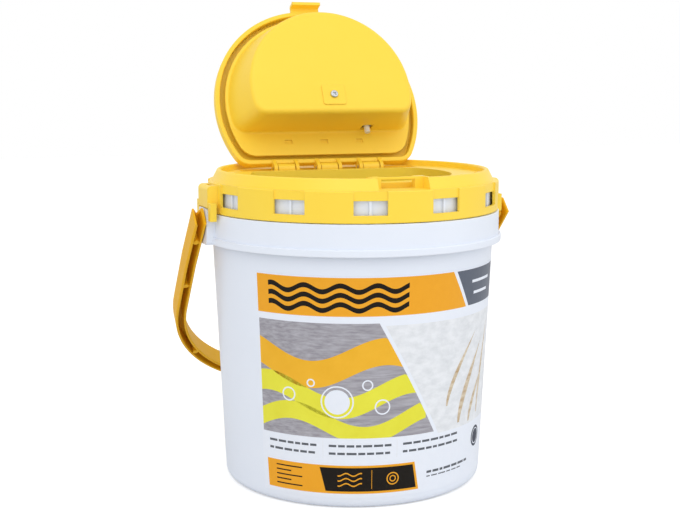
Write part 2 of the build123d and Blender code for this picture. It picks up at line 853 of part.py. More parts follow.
with BuildPart() as case_screws:
    with BuildSketch(hatch.offset(plate_top + plate_thickness / 2)):
        with Locations(*boss_places):
            Circle(case_screw_radius)
    extrude(amount=case_screw_length)
    with BuildSketch(hatch.offset(plate_top + plate_thickness / 2)):
        with Locations(*boss_places):
            Circle(case_screw_head - running_clearance)
    extrude(amount=-plate_thickness / 2)
    with BuildSketch(hatch.offset(plate_top)):
        with Locations(*boss_places):
            for angle in (0, 90):
                Rectangle(case_screw_head, case_screw_head / 4, rotation=angle)
    extrude(amount=plate_thickness * 0.3, mode=Mode.SUBTRACT)
save(case_screws, "case_screws")

# ---- Batteries, contacts and door ---------------------------------------------------------------

contact_face = contact_line + contact_thickness
cell_side = {-1: contact_face + spring_travel, 1: contact_face + cell_nub}
with BuildPart() as battery_cells:
    for side, start in cell_side.items():
        cell_plane = local_plane(hatch, (side * cell_offset, start, cell_depth), (0, 1, 0))
        with BuildSketch(cell_plane):
            Circle(cell_radius)
        extrude(amount=cell_length)
        nub_plane = cell_plane.offset(cell_length if side < 0 else 0)
        with BuildSketch(nub_plane):
            Circle(cell_nub_radius)
        extrude(amount=-side * cell_nub)
save(battery_cells, "battery_cells")

with BuildPart() as battery_contacts:
    near_plane = local_plane(hatch, (0, contact_line, cell_depth), (0, 1, 0))
    with BuildSketch(near_plane):
        with Locations((-cell_offset, 0), (cell_offset, 0)):
            Rectangle(contact_size, contact_size)
    extrude(amount=contact_thickness)
    far_plane = local_plane(hatch, (0, cells_end, cell_depth), (0, 1, 0))
    with BuildSketch(far_plane):
        Rectangle(cell_offset * 2 + contact_size, contact_size)
    extrude(amount=contact_thickness)
    for side, plane, run in ((-1, near_plane.offset(contact_thickness), 1), (1, far_plane, -1)):
        with BuildSketch(plane):
            with Locations((side * cell_offset, 0)):
                Circle(spring_radius)
                Circle(spring_radius - spring_wall, mode=Mode.SUBTRACT)
        extrude(amount=run * spring_travel)
save(battery_contacts, "battery_contacts")

door_bottom = plate_top - door_gap
door_width = (hole_half_width + door_overlap) * 2
door_length = hole_end - hole_start + door_overlap * 2
tongue_width = hole_half_width * 2 - door_travel - door_play * 2
tongue_length = hole_end - hole_start - door_play * 2
with BuildPart() as battery_door:
    with BuildSketch(hatch.offset(door_bottom)):
        with Locations((0, hole_middle)):
            RectangleRounded(door_width, door_length, door_corner)
    extrude(amount=-door_thickness)
    with BuildSketch(hatch.offset(door_bottom)):
        with Locations((-hole_half_width + door_play, hole_middle)):
            RectangleRounded(tongue_width, tongue_length, tongue_corner, align=(Align.MIN, Align.CENTER))
    extrude(amount=door_tongue)
    with BuildSketch(hatch.offset(door_bottom - door_thickness)):
        with Locations((-hole_half_width * 0.6, hole_middle)):
            with GridLocations(grip_pitch, 1, grip_ridges, 1):
                Rectangle(grip_pitch / 2, grip_length)
    extrude(amount=-grip_height)
save(battery_door, "battery_door")

# ---- Switch -------------------------------------------------------------------------------------

axle_depth = plate_top + rocker_sink
switch_x, switch_y = switch_place
with BuildPart() as switch_body:
    with BuildSketch(hatch.offset(plate_top - switch_bezel)):
        with Locations(switch_place):
            RectangleRounded(switch_width + switch_lip * 2, switch_length + switch_lip * 2, switch_corner)
    extrude(amount=switch_bezel)
    with BuildSketch(hatch.offset(plate_top)):
        with Locations(switch_place):
            Rectangle(switch_width, switch_length)
    extrude(amount=switch_depth)
    with BuildSketch(hatch.offset(plate_top - switch_bezel)):
        with Locations(switch_place):
            Rectangle(rocker_width + cavity_play * 2, (rocker_reach + cavity_play) * 2)
    extrude(amount=switch_bezel + rocker_sink + rocker_reach + cavity_play, mode=Mode.SUBTRACT)
    axle_reach = rocker_width / 2 + axle_stub + switch_play
    axle_plane = local_plane(hatch, (switch_x - axle_reach, switch_y, axle_depth), (1, 0, 0), (0, 1, 0))
    with BuildSketch(axle_plane):
        Circle(rocker_axle + running_clearance / 2)
    extrude(amount=axle_reach * 2, mode=Mode.SUBTRACT)
    for side in (-1, 1):
        with BuildSketch(hatch.offset(plate_top + switch_depth)):
            with Locations((switch_x + side * terminal_spread, switch_y)):
                Rectangle(terminal_thickness, terminal_size)
        extrude(amount=terminal_size)
save(switch_body, "switch_body")

half_swing = radians(rocker_swing / 2)
rocker_across = (0, cos(half_swing), -sin(half_swing))
with BuildPart() as rocker_switch:
    rocker_plane = local_plane(
        hatch,
        (switch_x - rocker_width / 2, switch_y, axle_depth),
        (1, 0, 0),
        rocker_across,
    )
    with BuildSketch(rocker_plane):
        Circle(rocker_reach)
        with Locations((0, -rocker_crown - rocker_reach)):
            Rectangle(rocker_reach * 2, rocker_reach * 2, mode=Mode.SUBTRACT)
        with Locations((0, rocker_belly + rocker_reach)):
            Rectangle(rocker_reach * 2, rocker_reach * 2, mode=Mode.SUBTRACT)
    extrude(amount=rocker_width)
    with BuildSketch(rocker_plane.offset(-axle_stub)):
        Circle(rocker_axle)
    extrude(amount=rocker_width + axle_stub * 2)
save(rocker_switch, "rocker_switch")

# ---- Air pump -----------------------------------------------------------------------------------

motor_x = cell_offset + cell_radius + motor_gap + motor_radius
arm_line = pump_line + arm_thickness / 2
crank_line = arm_line + crank_stand_off
motor_line = pump_line + pump_radius + motor_stand_off
with BuildPart() as pump_motor:
    motor_plane = local_plane(hatch, (motor_x, motor_line, motor_depth), (0, 1, 0))
    with BuildSketch(motor_plane):
        Circle(motor_radius)
    extrude(amount=motor_length)
    chamfer(pump_motor.edges().filter_by(GeomType.CIRCLE), motor_chamfer)
    with BuildSketch(motor_plane):
        Circle(shaft_radius + running_clearance)
    extrude(amount=shaft_socket, mode=Mode.SUBTRACT)
save(pump_motor, "pump_motor")

with BuildPart() as crank_wheel:
    wheel_plane = local_plane(hatch, (motor_x, crank_line, motor_depth), (0, 1, 0))
    with BuildSketch(wheel_plane):
        Circle(crank_radius)
    extrude(amount=crank_width)
    with BuildSketch(wheel_plane):
        Circle(shaft_radius)
    extrude(amount=motor_line - crank_line + shaft_socket - shaft_end_gap)
    with BuildSketch(wheel_plane):
        with Locations((crank_throw, 0)):
            Circle(shaft_radius)
    extrude(amount=-crank_pin_length)
save(crank_wheel, "crank_wheel")

with BuildPart() as pump_arm:
    arm_plane = local_plane(hatch, (motor_x, arm_line - arm_thickness, motor_depth), (0, 1, 0))
    with BuildSketch(arm_plane):
        Circle(arm_eye)
        Rectangle(arm_width, (diaphragm_depth - motor_depth) * 2)
        Circle(shaft_radius + crank_throw + arm_play, mode=Mode.SUBTRACT)
    extrude(amount=arm_thickness)
    split(bisect_by=hatch.offset(motor_depth - arm_eye), keep=Keep.TOP)
save(pump_arm, "pump_arm")

with BuildPart() as pump_diaphragm:
    with BuildSketch(hatch.offset(diaphragm_depth)):
        with Locations((motor_x, pump_line)):
            Circle(pump_radius)
    extrude(amount=diaphragm_thickness)
save(pump_diaphragm, "pump_diaphragm")

pump_top = diaphragm_depth + diaphragm_thickness
manifold_top = floor_top - manifold_depth
spigot_line = inner_chord + nozzle_inside
with BuildPart() as pump_body:
    with BuildSketch(hatch.offset(pump_top)):
        with Locations((motor_x, pump_line)):
            Circle(pump_radius)
    extrude(amount=floor_top - pump_top)
    with BuildSketch(hatch.offset(pump_top)):
        with Locations((motor_x, pump_line)):
            Circle(pump_radius - pump_wall)
    extrude(amount=chamber_depth, mode=Mode.SUBTRACT)
    with BuildSketch(hatch.offset(manifold_top)):
        with Locations((nozzle_x - elbow_radius, spigot_line - elbow_radius)):
            Rectangle(
                motor_x - nozzle_x + elbow_radius,
                pump_line - spigot_line,
                align=(Align.MIN, Align.MIN),
            )
    extrude(amount=manifold_depth)
    with BuildSketch(hatch.offset(manifold_top)):
        with Locations((nozzle_x, spigot_line)):
            Circle(spigot_radius)
    extrude(amount=-spigot_length)
save(pump_body, "pump_body")

with BuildPart() as air_tube:
    tube_top = nozzle_depth + elbow_radius
    with BuildSketch(hatch.offset(tube_top)):
        with Locations((nozzle_x, spigot_line)):
            Circle(spigot_radius + tube_wall)
            Circle(spigot_radius, mode=Mode.SUBTRACT)
    extrude(amount=manifold_top - tube_top)
save(air_tube, "air_tube")

with BuildPart() as air_nozzle:
    spout_plane = local_plane(hatch, (nozzle_x, pocket_chord - nozzle_reach, nozzle_depth), (0, 1, 0))
    with BuildSketch(spout_plane):
        Circle(nozzle_radius)
    extrude(amount=spigot_line - pocket_chord + nozzle_reach)
    with BuildSketch(hatch.offset(nozzle_depth - elbow_radius)):
        with Locations((nozzle_x, spigot_line)):
            Circle(elbow_radius)
    extrude(amount=elbow_radius * 2)
    with BuildSketch(spout_plane):
        Circle(nozzle_bore)
    extrude(amount=spigot_line - pocket_chord + nozzle_reach, mode=Mode.SUBTRACT)
save(air_nozzle, "air_nozzle")

# ---- Leads between the contacts, the switch and the motor ---------------------------------------

lead_step = lead_radius + lead_gap  # lead centre to the face it lies beside
behind = contact_line - lead_step
beyond = cells_end + contact_thickness + lead_step * 2
under = cell_depth + cell_radius * 0.6
solder = plate_top + switch_depth + terminal_size + lead_step
contact_edge = cell_offset + contact_size / 2
motor_back = motor_line + motor_length + lead_step
lead_room = lead_step * 6  # clear of a case boss
left_terminal = switch_x - terminal_spread
right_terminal = switch_x + terminal_spread
contact_to_switch = [
    (-contact_edge, behind, under),
    (right_terminal, behind, under),
    (right_terminal, switch_y, under),
    (right_terminal, switch_y, solder),
]
switch_to_motor = [
    (left_terminal, switch_y, solder),
    (left_terminal, switch_y + lead_room, diaphragm_depth),
    (-motor_x, motor_back + cell_radius / 2, diaphragm_depth),
    (-cell_offset * 2, beyond, diaphragm_depth),
    (cell_offset * 2, beyond, diaphragm_depth),
    (motor_x, motor_back + cell_radius / 2, diaphragm_depth),
    (motor_x, motor_back, motor_depth),
]
contact_to_motor = [
    (contact_edge, behind, cell_depth),
    (motor_x + motor_radius, behind, cell_depth),
    (motor_x + motor_radius + lead_room, behind + motor_radius / 2, cell_depth),
    (motor_x + motor_radius + lead_room, motor_line - motor_radius / 2, motor_depth),
    (motor_x + motor_radius * 0.7, motor_line - lead_step, motor_depth - motor_radius / 2),
]
with BuildPart() as motor_leads:
    for points in (contact_to_switch, switch_to_motor, contact_to_motor):
        placed = [hatch.from_local_coords(Vector(*point)) for point in points]
        with BuildLine() as route:
            FilletPolyline(*placed, radius=lead_bend)
        with BuildSketch(Plane(origin=route.line @ 0, z_dir=route.line % 0)):
            Circle(lead_radius)
        sweep(path=route.line)
save(motor_leads, "motor_leads")

# ---- Bail ---------------------------------------------------------------------------------------

lean = radians(bail_draw_in)
arc_centre = (bail_reach - bail_half_width * cos(lean) - bail_straight * sin(lean)) / (1 - sin(lean))
arc_radius = bail_reach - arc_centre


def bail_outline(grow):
    """The region inside the bail's centre line, grown or shrunk on every side."""
    half_width = bail_half_width + grow
    radius = arc_radius + grow
    knee = bail_straight + grow * tan(lean / 2)
    turn = (radius * cos(lean), arc_centre + radius * sin(lean))
    with BuildSketch(bail_plane) as outline:
        with BuildLine():
            Line((-half_width, -bail_tail), (half_width, -bail_tail))
            Line((half_width, -bail_tail), (half_width, knee))
            Line((half_width, knee), turn)
            ThreePointArc(turn, (0, arc_centre + radius), (-turn[0], turn[1]))
            Line((-turn[0], turn[1]), (-half_width, knee))
            Line((-half_width, knee), (-half_width, -bail_tail))
        make_face()
    return outline.sketch


with BuildPart() as bail:
    extrude(bail_outline(bail_band / 2), bail_width / 2, both=True)
    extrude(bail_outline(-bail_band / 2), bail_width, both=True, mode=Mode.SUBTRACT)
    side_faces = bail.faces().sort_by(Axis(bail_plane.origin, bail_plane.z_dir))
    fillet(side_faces[0].edges() + side_faces[-1].edges(), bail_round)
    # The channel, open on the side that faces down when the bail hangs behind
    groove = bail_outline(bail_band / 2 - bail_wall) - bail_outline(bail_wall - bail_band / 2)
    extrude(groove, -bail_width, mode=Mode.SUBTRACT)
    extrude(groove, bail_width / 2 - bail_wall, mode=Mode.SUBTRACT)
    # Ribs across the channel, each with a round post, evenly spaced along the arms and the arc
    rib_plane = bail_plane.offset(bail_rib_sink - bail_width / 2)
    rib_depth = bail_width - bail_rib_sink - bail_wall / 2
    for side in (-1, 1):
        for rib_y in (bail_rib_line, bail_rib_line + bail_rib_pitch):
            with BuildSketch(rib_plane):
                with Locations((side * bail_half_width, rib_y)):
                    Rectangle(bail_band - bail_wall, bail_rib_thickness)
                    Circle(bail_post_radius)
            extrude(amount=rib_depth)
    with BuildSketch(rib_plane):
        with Locations((0, arc_centre)):
            with PolarLocations(arc_radius, bail_rib_count, bail_rib_start, 180 - bail_rib_start * 2):
                Rectangle(bail_band - bail_wall, bail_rib_thickness)
                Circle(bail_post_radius)
    extrude(amount=rib_depth)
    # Pegs that turn in the pail's ears, and notched tips
    bail_inner = bail_half_width - bail_band / 2
    for side in (-1, 1):
        peg_plane = local_plane(bail_plane, (side * (bail_inner + weld), 0, 0), (-side, 0, 0), (0, 1, 0))
        with BuildSketch(peg_plane):
            Circle(peg_radius)
        extrude(amount=peg_depth + bail_side_gap + weld)
        with BuildSketch(bail_plane.offset(-bail_width)):
            with BuildLine():
                Polyline(
                    (side * (bail_half_width - bail_band * notch_share), -bail_tail),
                    (side * (bail_half_width + bail_band * notch_share), -bail_tail),
                    (side * bail_half_width, -bail_tail + bail_notch),
                    close=True,
                )
            make_face()
        extrude(amount=bail_width * 2, mode=Mode.SUBTRACT)
save(bail, "bail")
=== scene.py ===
"""Looks of the aerated bait bucket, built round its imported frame.

Metres, +Z up, origin at the centre of the pail's base. The latch side faces -Y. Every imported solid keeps
its shape and gets its finish here, except the label: this script lays its film and inks round the pail.
"""

import logging
import random
from dataclasses import dataclass, field
from enum import IntEnum
from math import cos, pi, radians, sin
from typing import Callable, Iterable, Protocol, Sequence

import bmesh
import bpy
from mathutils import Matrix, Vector


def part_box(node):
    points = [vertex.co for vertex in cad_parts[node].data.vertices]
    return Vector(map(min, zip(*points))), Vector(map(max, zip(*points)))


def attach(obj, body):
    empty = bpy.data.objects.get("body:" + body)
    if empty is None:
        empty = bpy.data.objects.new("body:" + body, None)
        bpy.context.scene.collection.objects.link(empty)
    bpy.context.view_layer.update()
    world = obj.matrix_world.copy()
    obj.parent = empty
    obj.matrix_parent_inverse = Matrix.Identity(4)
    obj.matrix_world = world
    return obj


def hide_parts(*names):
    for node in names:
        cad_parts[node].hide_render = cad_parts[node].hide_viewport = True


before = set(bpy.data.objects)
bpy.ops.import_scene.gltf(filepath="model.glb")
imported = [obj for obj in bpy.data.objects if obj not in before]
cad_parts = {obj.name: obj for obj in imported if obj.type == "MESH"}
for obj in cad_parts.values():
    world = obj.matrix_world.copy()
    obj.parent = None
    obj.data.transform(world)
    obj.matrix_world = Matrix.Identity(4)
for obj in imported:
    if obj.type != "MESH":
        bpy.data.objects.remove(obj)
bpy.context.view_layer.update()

log = logging.getLogger("bait_bucket")

MM = 0.001
Point = tuple[float, float]
Outline = Sequence[Point]
Span = tuple[float, float]
Edges = tuple[float, float, float, float]
Triple = tuple[float, float, float]
Colour = tuple[float, float, float, float]
WHITE: Colour = (1.0, 1.0, 1.0, 1.0)


# ---- Colour and nodes ----------------------------------------------------------------------------


class MixSocket(IntEnum):
    """Sockets of a Mix node set to colours, by number, because its other types share their names."""

    SHARE = 0
    FIRST = 6
    SECOND = 7
    RESULT = 2


def linear(hex_colour: str) -> Colour:
    """Turn an sRGB hex colour into Blender's linear values.

    Args:
        hex_colour: Six hex digits, with or without a leading #.

    Returns:
        Linear red, green and blue, and an alpha of 1.
    """
    digits = hex_colour.lstrip("#")
    channels = [int(digits[i : i + 2], 16) / 255 for i in (0, 2, 4)]
    # The sRGB curve: a straight line near black, then a power
    red, green, blue = [c / 12.92 if c <= 0.04045 else ((c + 0.055) / 1.055) ** 2.4 for c in channels]
    return (red, green, blue, 1.0)


def add_node(
    tree: bpy.types.NodeTree,
    kind: str,
    settings: dict[str | int, object] | None = None,
    links: dict[str | int, bpy.types.NodeSocket] | None = None,
) -> bpy.types.Node:
    """Add a node, set its properties and input values, and link its inputs.

    Args:
        tree: The tree that gets the node.
        kind: Blender's name for the node type.
        settings: Property names, or input names or numbers, with their values.
        links: Input names or numbers, with the output socket that feeds each.

    Returns:
        The new node.
    """
    node = tree.nodes.new(kind)
    for key, value in (settings or {}).items():
        if isinstance(key, str) and hasattr(node, key):
            setattr(node, key, value)
        else:
            node.inputs[key].default_value = value
    for key, source in (links or {}).items():
        tree.links.new(source, node.inputs[key])
    return node


def new_material(name: str) -> tuple[bpy.types.Material, bpy.types.NodeTree, bpy.types.Node]:
    """Make an empty node material.

    Args:
        name: The material's name.

    Returns:
        The material, its node tree and its shader node, already linked to the output.
    """
    material = bpy.data.materials.new(name)
    material.use_nodes = True
    tree = material.node_tree
    tree.nodes.clear()
    shader = add_node(tree, "ShaderNodeBsdfPrincipled")
    add_node(tree, "ShaderNodeOutputMaterial", links={"Surface": shader.outputs["BSDF"]})
    return material, tree, shader


# ---- Finishes ------------------------------------------------------------------------------------


class Finish(Protocol):
    """What a piece is made of: a name, and a way to build its material."""

    @property
    def name(self) -> str:
        """The material's name."""

    def material(self) -> bpy.types.Material:
        """Build the material."""


@dataclass(frozen=True)
class MouldedPlastic:
    """Injection-moulded plastic with a faint spark-eroded texture from its mould."""

    name: str
    colour: str
    flow_colour: str
    roughness: float = 0.42
    texture_mm: float = 0.9
    texture_depth_mm: float = 0.012
    flow_mm: float = 45.0
    edge_mm: float = 0.6
    # A painted highlight along the edges: the colour that they are mixed towards, and its share where it
    # is strongest
    painted_edge_highlight: str = "#ffffff"
    edge_highlight_share: float = 0.12
    # Cosine between the rounded and the flat surface where the painted edge highlight starts, and where it
    # is strongest
    edge_highlight_facing: Span = (0.995, 0.80)
    # What the flow marks add to the roughness, from one shade to the other
    gloss_drift: Span = (-0.05, 0.07)
    ior: float = 1.49

    def material(self) -> bpy.types.Material:
        """Build the plastic.

        Returns:
            Flow marks in its colour, moulded texture in its surface, and a painted highlight along its
            edges.
        """
        material, tree, shader = new_material(self.name)
        place = add_node(tree, "ShaderNodeTexCoord").outputs["Object"]
        # Flow marks: wide, faint bands where the melt met, a few centimetres across
        flow = add_node(
            tree,
            "ShaderNodeTexNoise",
            {"Scale": 1 / (self.flow_mm * MM), "Detail": 3.0, "Roughness": 0.55},
            {"Vector": place},
        )
        body = add_node(
            tree,
            "ShaderNodeMix",
            {
                "data_type": "RGBA",
                MixSocket.FIRST: linear(self.colour),
                MixSocket.SECOND: linear(self.flow_colour),
            },
            {MixSocket.SHARE: flow.outputs["Fac"]},
        )
        # Moulded texture: real sparks are 0.1 mm, drawn coarser so that they break up the gloss here
        texture = add_node(
            tree,
            "ShaderNodeTexNoise",
            {"Scale": 1 / (self.texture_mm * MM), "Detail": 2.0, "Roughness": 0.6},
            {"Vector": place},
        )
        rounded = add_node(tree, "ShaderNodeBevel", {"samples": 6, "Radius": self.edge_mm * MM})
        geometry = add_node(tree, "ShaderNodeNewGeometry")
        bump = add_node(
            tree,
            "ShaderNodeBump",
            {"Strength": 0.5, "Distance": self.texture_depth_mm * MM},
            {"Height": texture.outputs["Fac"], "Normal": rounded.outputs["Normal"]},
        )
        # Edges: a painted highlight, paler where the rounded normal turns away from the flat one
        facing = add_node(
            tree,
            "ShaderNodeVectorMath",
            {"operation": "DOT_PRODUCT"},
            {0: rounded.outputs["Normal"], 1: geometry.outputs["Normal"]},
        )
        starts, highlight_full = self.edge_highlight_facing
        edge = add_node(
            tree,
            "ShaderNodeMapRange",
            {"From Min": starts, "From Max": highlight_full, "To Min": 0.0, "To Max": self.edge_highlight_share},
            {"Value": facing.outputs["Value"]},
        )
        tint = add_node(
            tree,
            "ShaderNodeMix",
            {"data_type": "RGBA", MixSocket.SECOND: linear(self.painted_edge_highlight)},
            {MixSocket.SHARE: edge.outputs["Result"], MixSocket.FIRST: body.outputs[MixSocket.RESULT]},
        )
        glossier, duller = self.gloss_drift
        gloss = add_node(
            tree,
            "ShaderNodeMapRange",
            {"To Min": self.roughness + glossier, "To Max": self.roughness + duller},
            {"Value": flow.outputs["Fac"]},
        )
        tree.links.new(tint.outputs[MixSocket.RESULT], shader.inputs["Base Color"])
        tree.links.new(gloss.outputs["Result"], shader.inputs["Roughness"])
        tree.links.new(bump.outputs["Normal"], shader.inputs["Normal"])
        shader.inputs["IOR"].default_value = self.ior
        return material


@dataclass(frozen=True)
class BeadFoam:
    """Expanded polystyrene, moulded from steam-swollen beads about 3 mm across."""

    name: str
    colour: str
    groove_shade_colour: str
    bead_mm: float = 3.0
    dome_mm: float = 0.2
    # Distance from a bead's middle, in beads, where the painted shade in the groove at its seam starts,
    # and where it is darkest
    seam: Span = (0.35, 0.75)
    roughness: float = 0.8

    def material(self) -> bpy.types.Material:
        """Build the foam.

        Returns:
            Packed beads that show as shallow domes, with painted shade in the grooves between them.
        """
        material, tree, shader = new_material(self.name)
        place = add_node(tree, "ShaderNodeTexCoord").outputs["Object"]
        pitch = {"Scale": 1 / (self.bead_mm * MM)}
        beads = add_node(tree, "ShaderNodeTexVoronoi", pitch, {"Vector": place})
        starts, darkest = self.seam
        gaps = {"From Min": starts, "From Max": darkest}
        seam = add_node(tree, "ShaderNodeMapRange", gaps, {"Value": beads.outputs["Distance"]})
        # Painted shade: the colour darkens where the domes dip into the grooves between beads
        tint = add_node(
            tree,
            "ShaderNodeMix",
            {
                "data_type": "RGBA",
                MixSocket.FIRST: linear(self.colour),
                MixSocket.SECOND: linear(self.groove_shade_colour),
            },
            {MixSocket.SHARE: seam.outputs["Result"]},
        )
        bump = add_node(
            tree,
            "ShaderNodeBump",
            {"Strength": 0.4, "Distance": self.dome_mm * MM, "invert": True},
            {"Height": beads.outputs["Distance"]},
        )
        tree.links.new(tint.outputs[MixSocket.RESULT], shader.inputs["Base Color"])
        tree.links.new(bump.outputs["Normal"], shader.inputs["Normal"])
        shader.inputs["Roughness"].default_value = self.roughness
        return material


@dataclass(frozen=True)
class PrintedInk:
    """Flexographic ink under a clear varnish, or the plain film that carries it."""

    name: str
    colour: str
    second_colour: str
    grain_mm: float = 6.0
    stretch: Triple = (1.0, 1.0, 1.0)
    # Noise values at which the first shade ends and the second is full
    threshold: Span = (0.2, 0.9)
    roughness: float = 0.36
    ior: float = 1.25

    def material(self) -> bpy.types.Material:
        """Build the ink.

        Returns:
            Two near shades that a printed area drifts between, under an even varnish.
        """
        material, tree, shader = new_material(self.name)
        place = add_node(tree, "ShaderNodeTexCoord").outputs["Object"]
        spread = add_node(tree, "ShaderNodeMapping", {"Scale": self.stretch}, {"Vector": place})
        grain = add_node(
            tree,
            "ShaderNodeTexNoise",
            {"Scale": 1 / (self.grain_mm * MM), "Detail": 4.0, "Roughness": 0.6},
            {"Vector": spread.outputs["Vector"]},
        )
        low, high = self.threshold
        limits = {"From Min": low, "From Max": high}
        share = add_node(tree, "ShaderNodeMapRange", limits, {"Value": grain.outputs["Fac"]})
        tint = add_node(
            tree,
            "ShaderNodeMix",
            {
                "data_type": "RGBA",
                MixSocket.FIRST: linear(self.colour),
                MixSocket.SECOND: linear(self.second_colour),
            },
            {MixSocket.SHARE: share.outputs["Result"]},
        )
        tree.links.new(tint.outputs[MixSocket.RESULT], shader.inputs["Base Color"])
        shader.inputs["Roughness"].default_value = self.roughness
        shader.inputs["IOR"].default_value = self.ior
        return material


@dataclass(frozen=True)
class BrightSteel:
    """Bright mild steel, plated or plain, drawn or pressed, so that fine lines run along it."""

    name: str
    colour: str
    roughness: float = 0.3
    line_mm: float = 0.4
    line_depth_mm: float = 0.01
    # What the drawn lines add to the roughness, from one side to the other
    gloss_drift: Span = (-0.1, 0.12)
    stretch: Triple = (1.0, 1.0, 8.0)

    def material(self) -> bpy.types.Material:
        """Build the metal.

        Returns:
            Drawn lines that vary its gloss and lift its surface slightly.
        """
        material, tree, shader = new_material(self.name)
        place = add_node(tree, "ShaderNodeTexCoord").outputs["Object"]
        drawn = add_node(tree, "ShaderNodeMapping", {"Scale": self.stretch}, {"Vector": place})
        lines = add_node(
            tree,
            "ShaderNodeTexNoise",
            {"Scale": 1 / (self.line_mm * MM), "Detail": 2.0},
            {"Vector": drawn.outputs["Vector"]},
        )
        glossier, duller = self.gloss_drift
        gloss = add_node(
            tree,
            "ShaderNodeMapRange",
            {"To Min": self.roughness + glossier, "To Max": self.roughness + duller},
            {"Value": lines.outputs["Fac"]},
        )
        bump = add_node(
            tree,
            "ShaderNodeBump",
            {"Strength": 0.3, "Distance": self.line_depth_mm * MM},
            {"Height": lines.outputs["Fac"]},
        )
        tree.links.new(gloss.outputs["Result"], shader.inputs["Roughness"])
        tree.links.new(bump.outputs["Normal"], shader.inputs["Normal"])
        shader.inputs["Base Color"].default_value = linear(self.colour)
        shader.inputs["Metallic"].default_value = 1.0
        return material


@dataclass(frozen=True)
class SoftRubber:
    """Rubber or another soft plastic, moulded or drawn out, matt, with a dusty bloom."""

    name: str
    colour: str
    bloom_colour: str
    roughness: float = 0.72
    bloom_mm: float = 4.0

    def material(self) -> bpy.types.Material:
        """Build the rubber.

        Returns:
            Bloom in soft patches over an even, matt ground.
        """
        material, tree, shader = new_material(self.name)
        place = add_node(tree, "ShaderNodeTexCoord").outputs["Object"]
        patches = {"Scale": 1 / (self.bloom_mm * MM), "Detail": 5.0}
        bloom = add_node(tree, "ShaderNodeTexNoise", patches, {"Vector": place})
        tint = add_node(
            tree,
            "ShaderNodeMix",
            {
                "data_type": "RGBA",
                MixSocket.FIRST: linear(self.colour),
                MixSocket.SECOND: linear(self.bloom_colour),
            },
            {MixSocket.SHARE: bloom.outputs["Fac"]},
        )
        tree.links.new(tint.outputs[MixSocket.RESULT], shader.inputs["Base Color"])
        shader.inputs["Roughness"].default_value = self.roughness
        return material


# In every moulded finish, the edge colour is a painted highlight that the edges are mixed towards
# Polypropylene moulded in a warm yellow: an even colour with a broad, soft shine
YELLOW_LID = MouldedPlastic("yellow_polypropylene", "#ffdc46", "#ffd83c", 0.40, painted_edge_highlight="#fff0a0")
YELLOW_HATCH = MouldedPlastic("yellow_hatch_plastic", "#ffd940", "#ffd63a", 0.46, painted_edge_highlight="#ffee98")
# The bail is a tougher grade in a deeper yellow, more matt than the lid, which sets it off
YELLOW_BAIL = MouldedPlastic(
    "yellow_bail_plastic",
    "#f2b812",
    "#ecb00c",
    roughness=0.5,
    edge_mm=0.3,
    painted_edge_highlight="#f8d050",
    ior=1.33,
)
# High-density polyethylene moulded in a cool white, a little waxy, so it never reads as paper
WHITE_PAIL = MouldedPlastic("white_polyethylene", "#eaf0fb", "#e5ecf8", 0.36, edge_mm=0.5)
# ABS with a finer texture than the bucket's, for the parts that a hand reaches inside the hatch
WHITE_UNIT = MouldedPlastic("white_abs", "#eef1f5", "#e6eaf0", 0.34, texture_mm=0.6)
WHITE_DOOR = MouldedPlastic("white_abs_door", "#e8ebf0", "#e0e4ea", 0.34, texture_mm=0.6)
# Nylon, a warmer white and a little glossier
WHITE_NOZZLE = MouldedPlastic("white_nylon_nozzle", "#f6f6f2", "#efefe8", 0.3)
# Uncoloured acetal: the creamy, slightly dull white of small machine parts
PUMP_PLASTIC = MouldedPlastic("natural_acetal", "#dcdcd6", "#d2d2ca", 0.4)
# Glass-filled nylon, nearly black, with a grey painted highlight along its edges
BLACK_SWITCH = MouldedPlastic("black_nylon_switch", "#151515", "#1c1c1c", 0.32, painted_edge_highlight="#5a5a5a")
# Expanded polystyrene beads, pale, with painted shade in the grooves between them
FOAM = BeadFoam("expanded_polystyrene", "#f8f8f5", "#ebebe6")
# Bright zinc on mild steel for the screws, plain drawn wire for the pins, nickel on the contacts
SCREW_STEEL = BrightSteel("zinc_plated_steel", "#b9bcc0", 0.28)
PIN_STEEL = BrightSteel("drawn_steel_pin", "#c4c4c2", 0.25, stretch=(0.1, 1.0, 1.0))
CONTACT_METAL = BrightSteel("nickel_plated_strip", "#d0c8b4", 0.3)
MOTOR_CAN = BrightSteel("plated_motor_can", "#b4b6b8", 0.32)
# A shrunk printed sleeve, dark and smooth
CELL_JACKET = PrintedInk("printed_cell_jacket", "#31363f", "#3b424d", roughness=0.3)
# Nitrile rubber is matt and nearly black, silicone milky, and the leads' sleeves a waxy red
GASKET_RUBBER = SoftRubber("nitrile_gasket", "#232323", "#303030")
DIAPHRAGM_RUBBER = SoftRubber("nitrile_diaphragm", "#2a2828", "#373434")
TUBE_SILICONE = SoftRubber("silicone_tube", "#d9dcd9", "#e6e8e6", 0.5)
LEAD_WIRE = SoftRubber("pvc_lead_wire", "#b01c16", "#bd2a22", 0.45)

# The film under the print is a shade brighter and smoother than the pail's wall
LABEL_FILM = PrintedInk("white_label_film", "#ecf1fb", "#e8eef9")
# Solid inks, each flat under varnish but for a faint drift of shade
ORANGE_INK = PrintedInk("orange_ink", "#f2aa2c", "#eea528")
SLATE_INK = PrintedInk("slate_ink", "#636a78", "#5a616f")
BLACK_INK = PrintedInk("black_ink", "#17130f", "#1d1813")
GREY_BAR_INK = PrintedInk("grey_bar_ink", "#5b5f66", "#666a72")
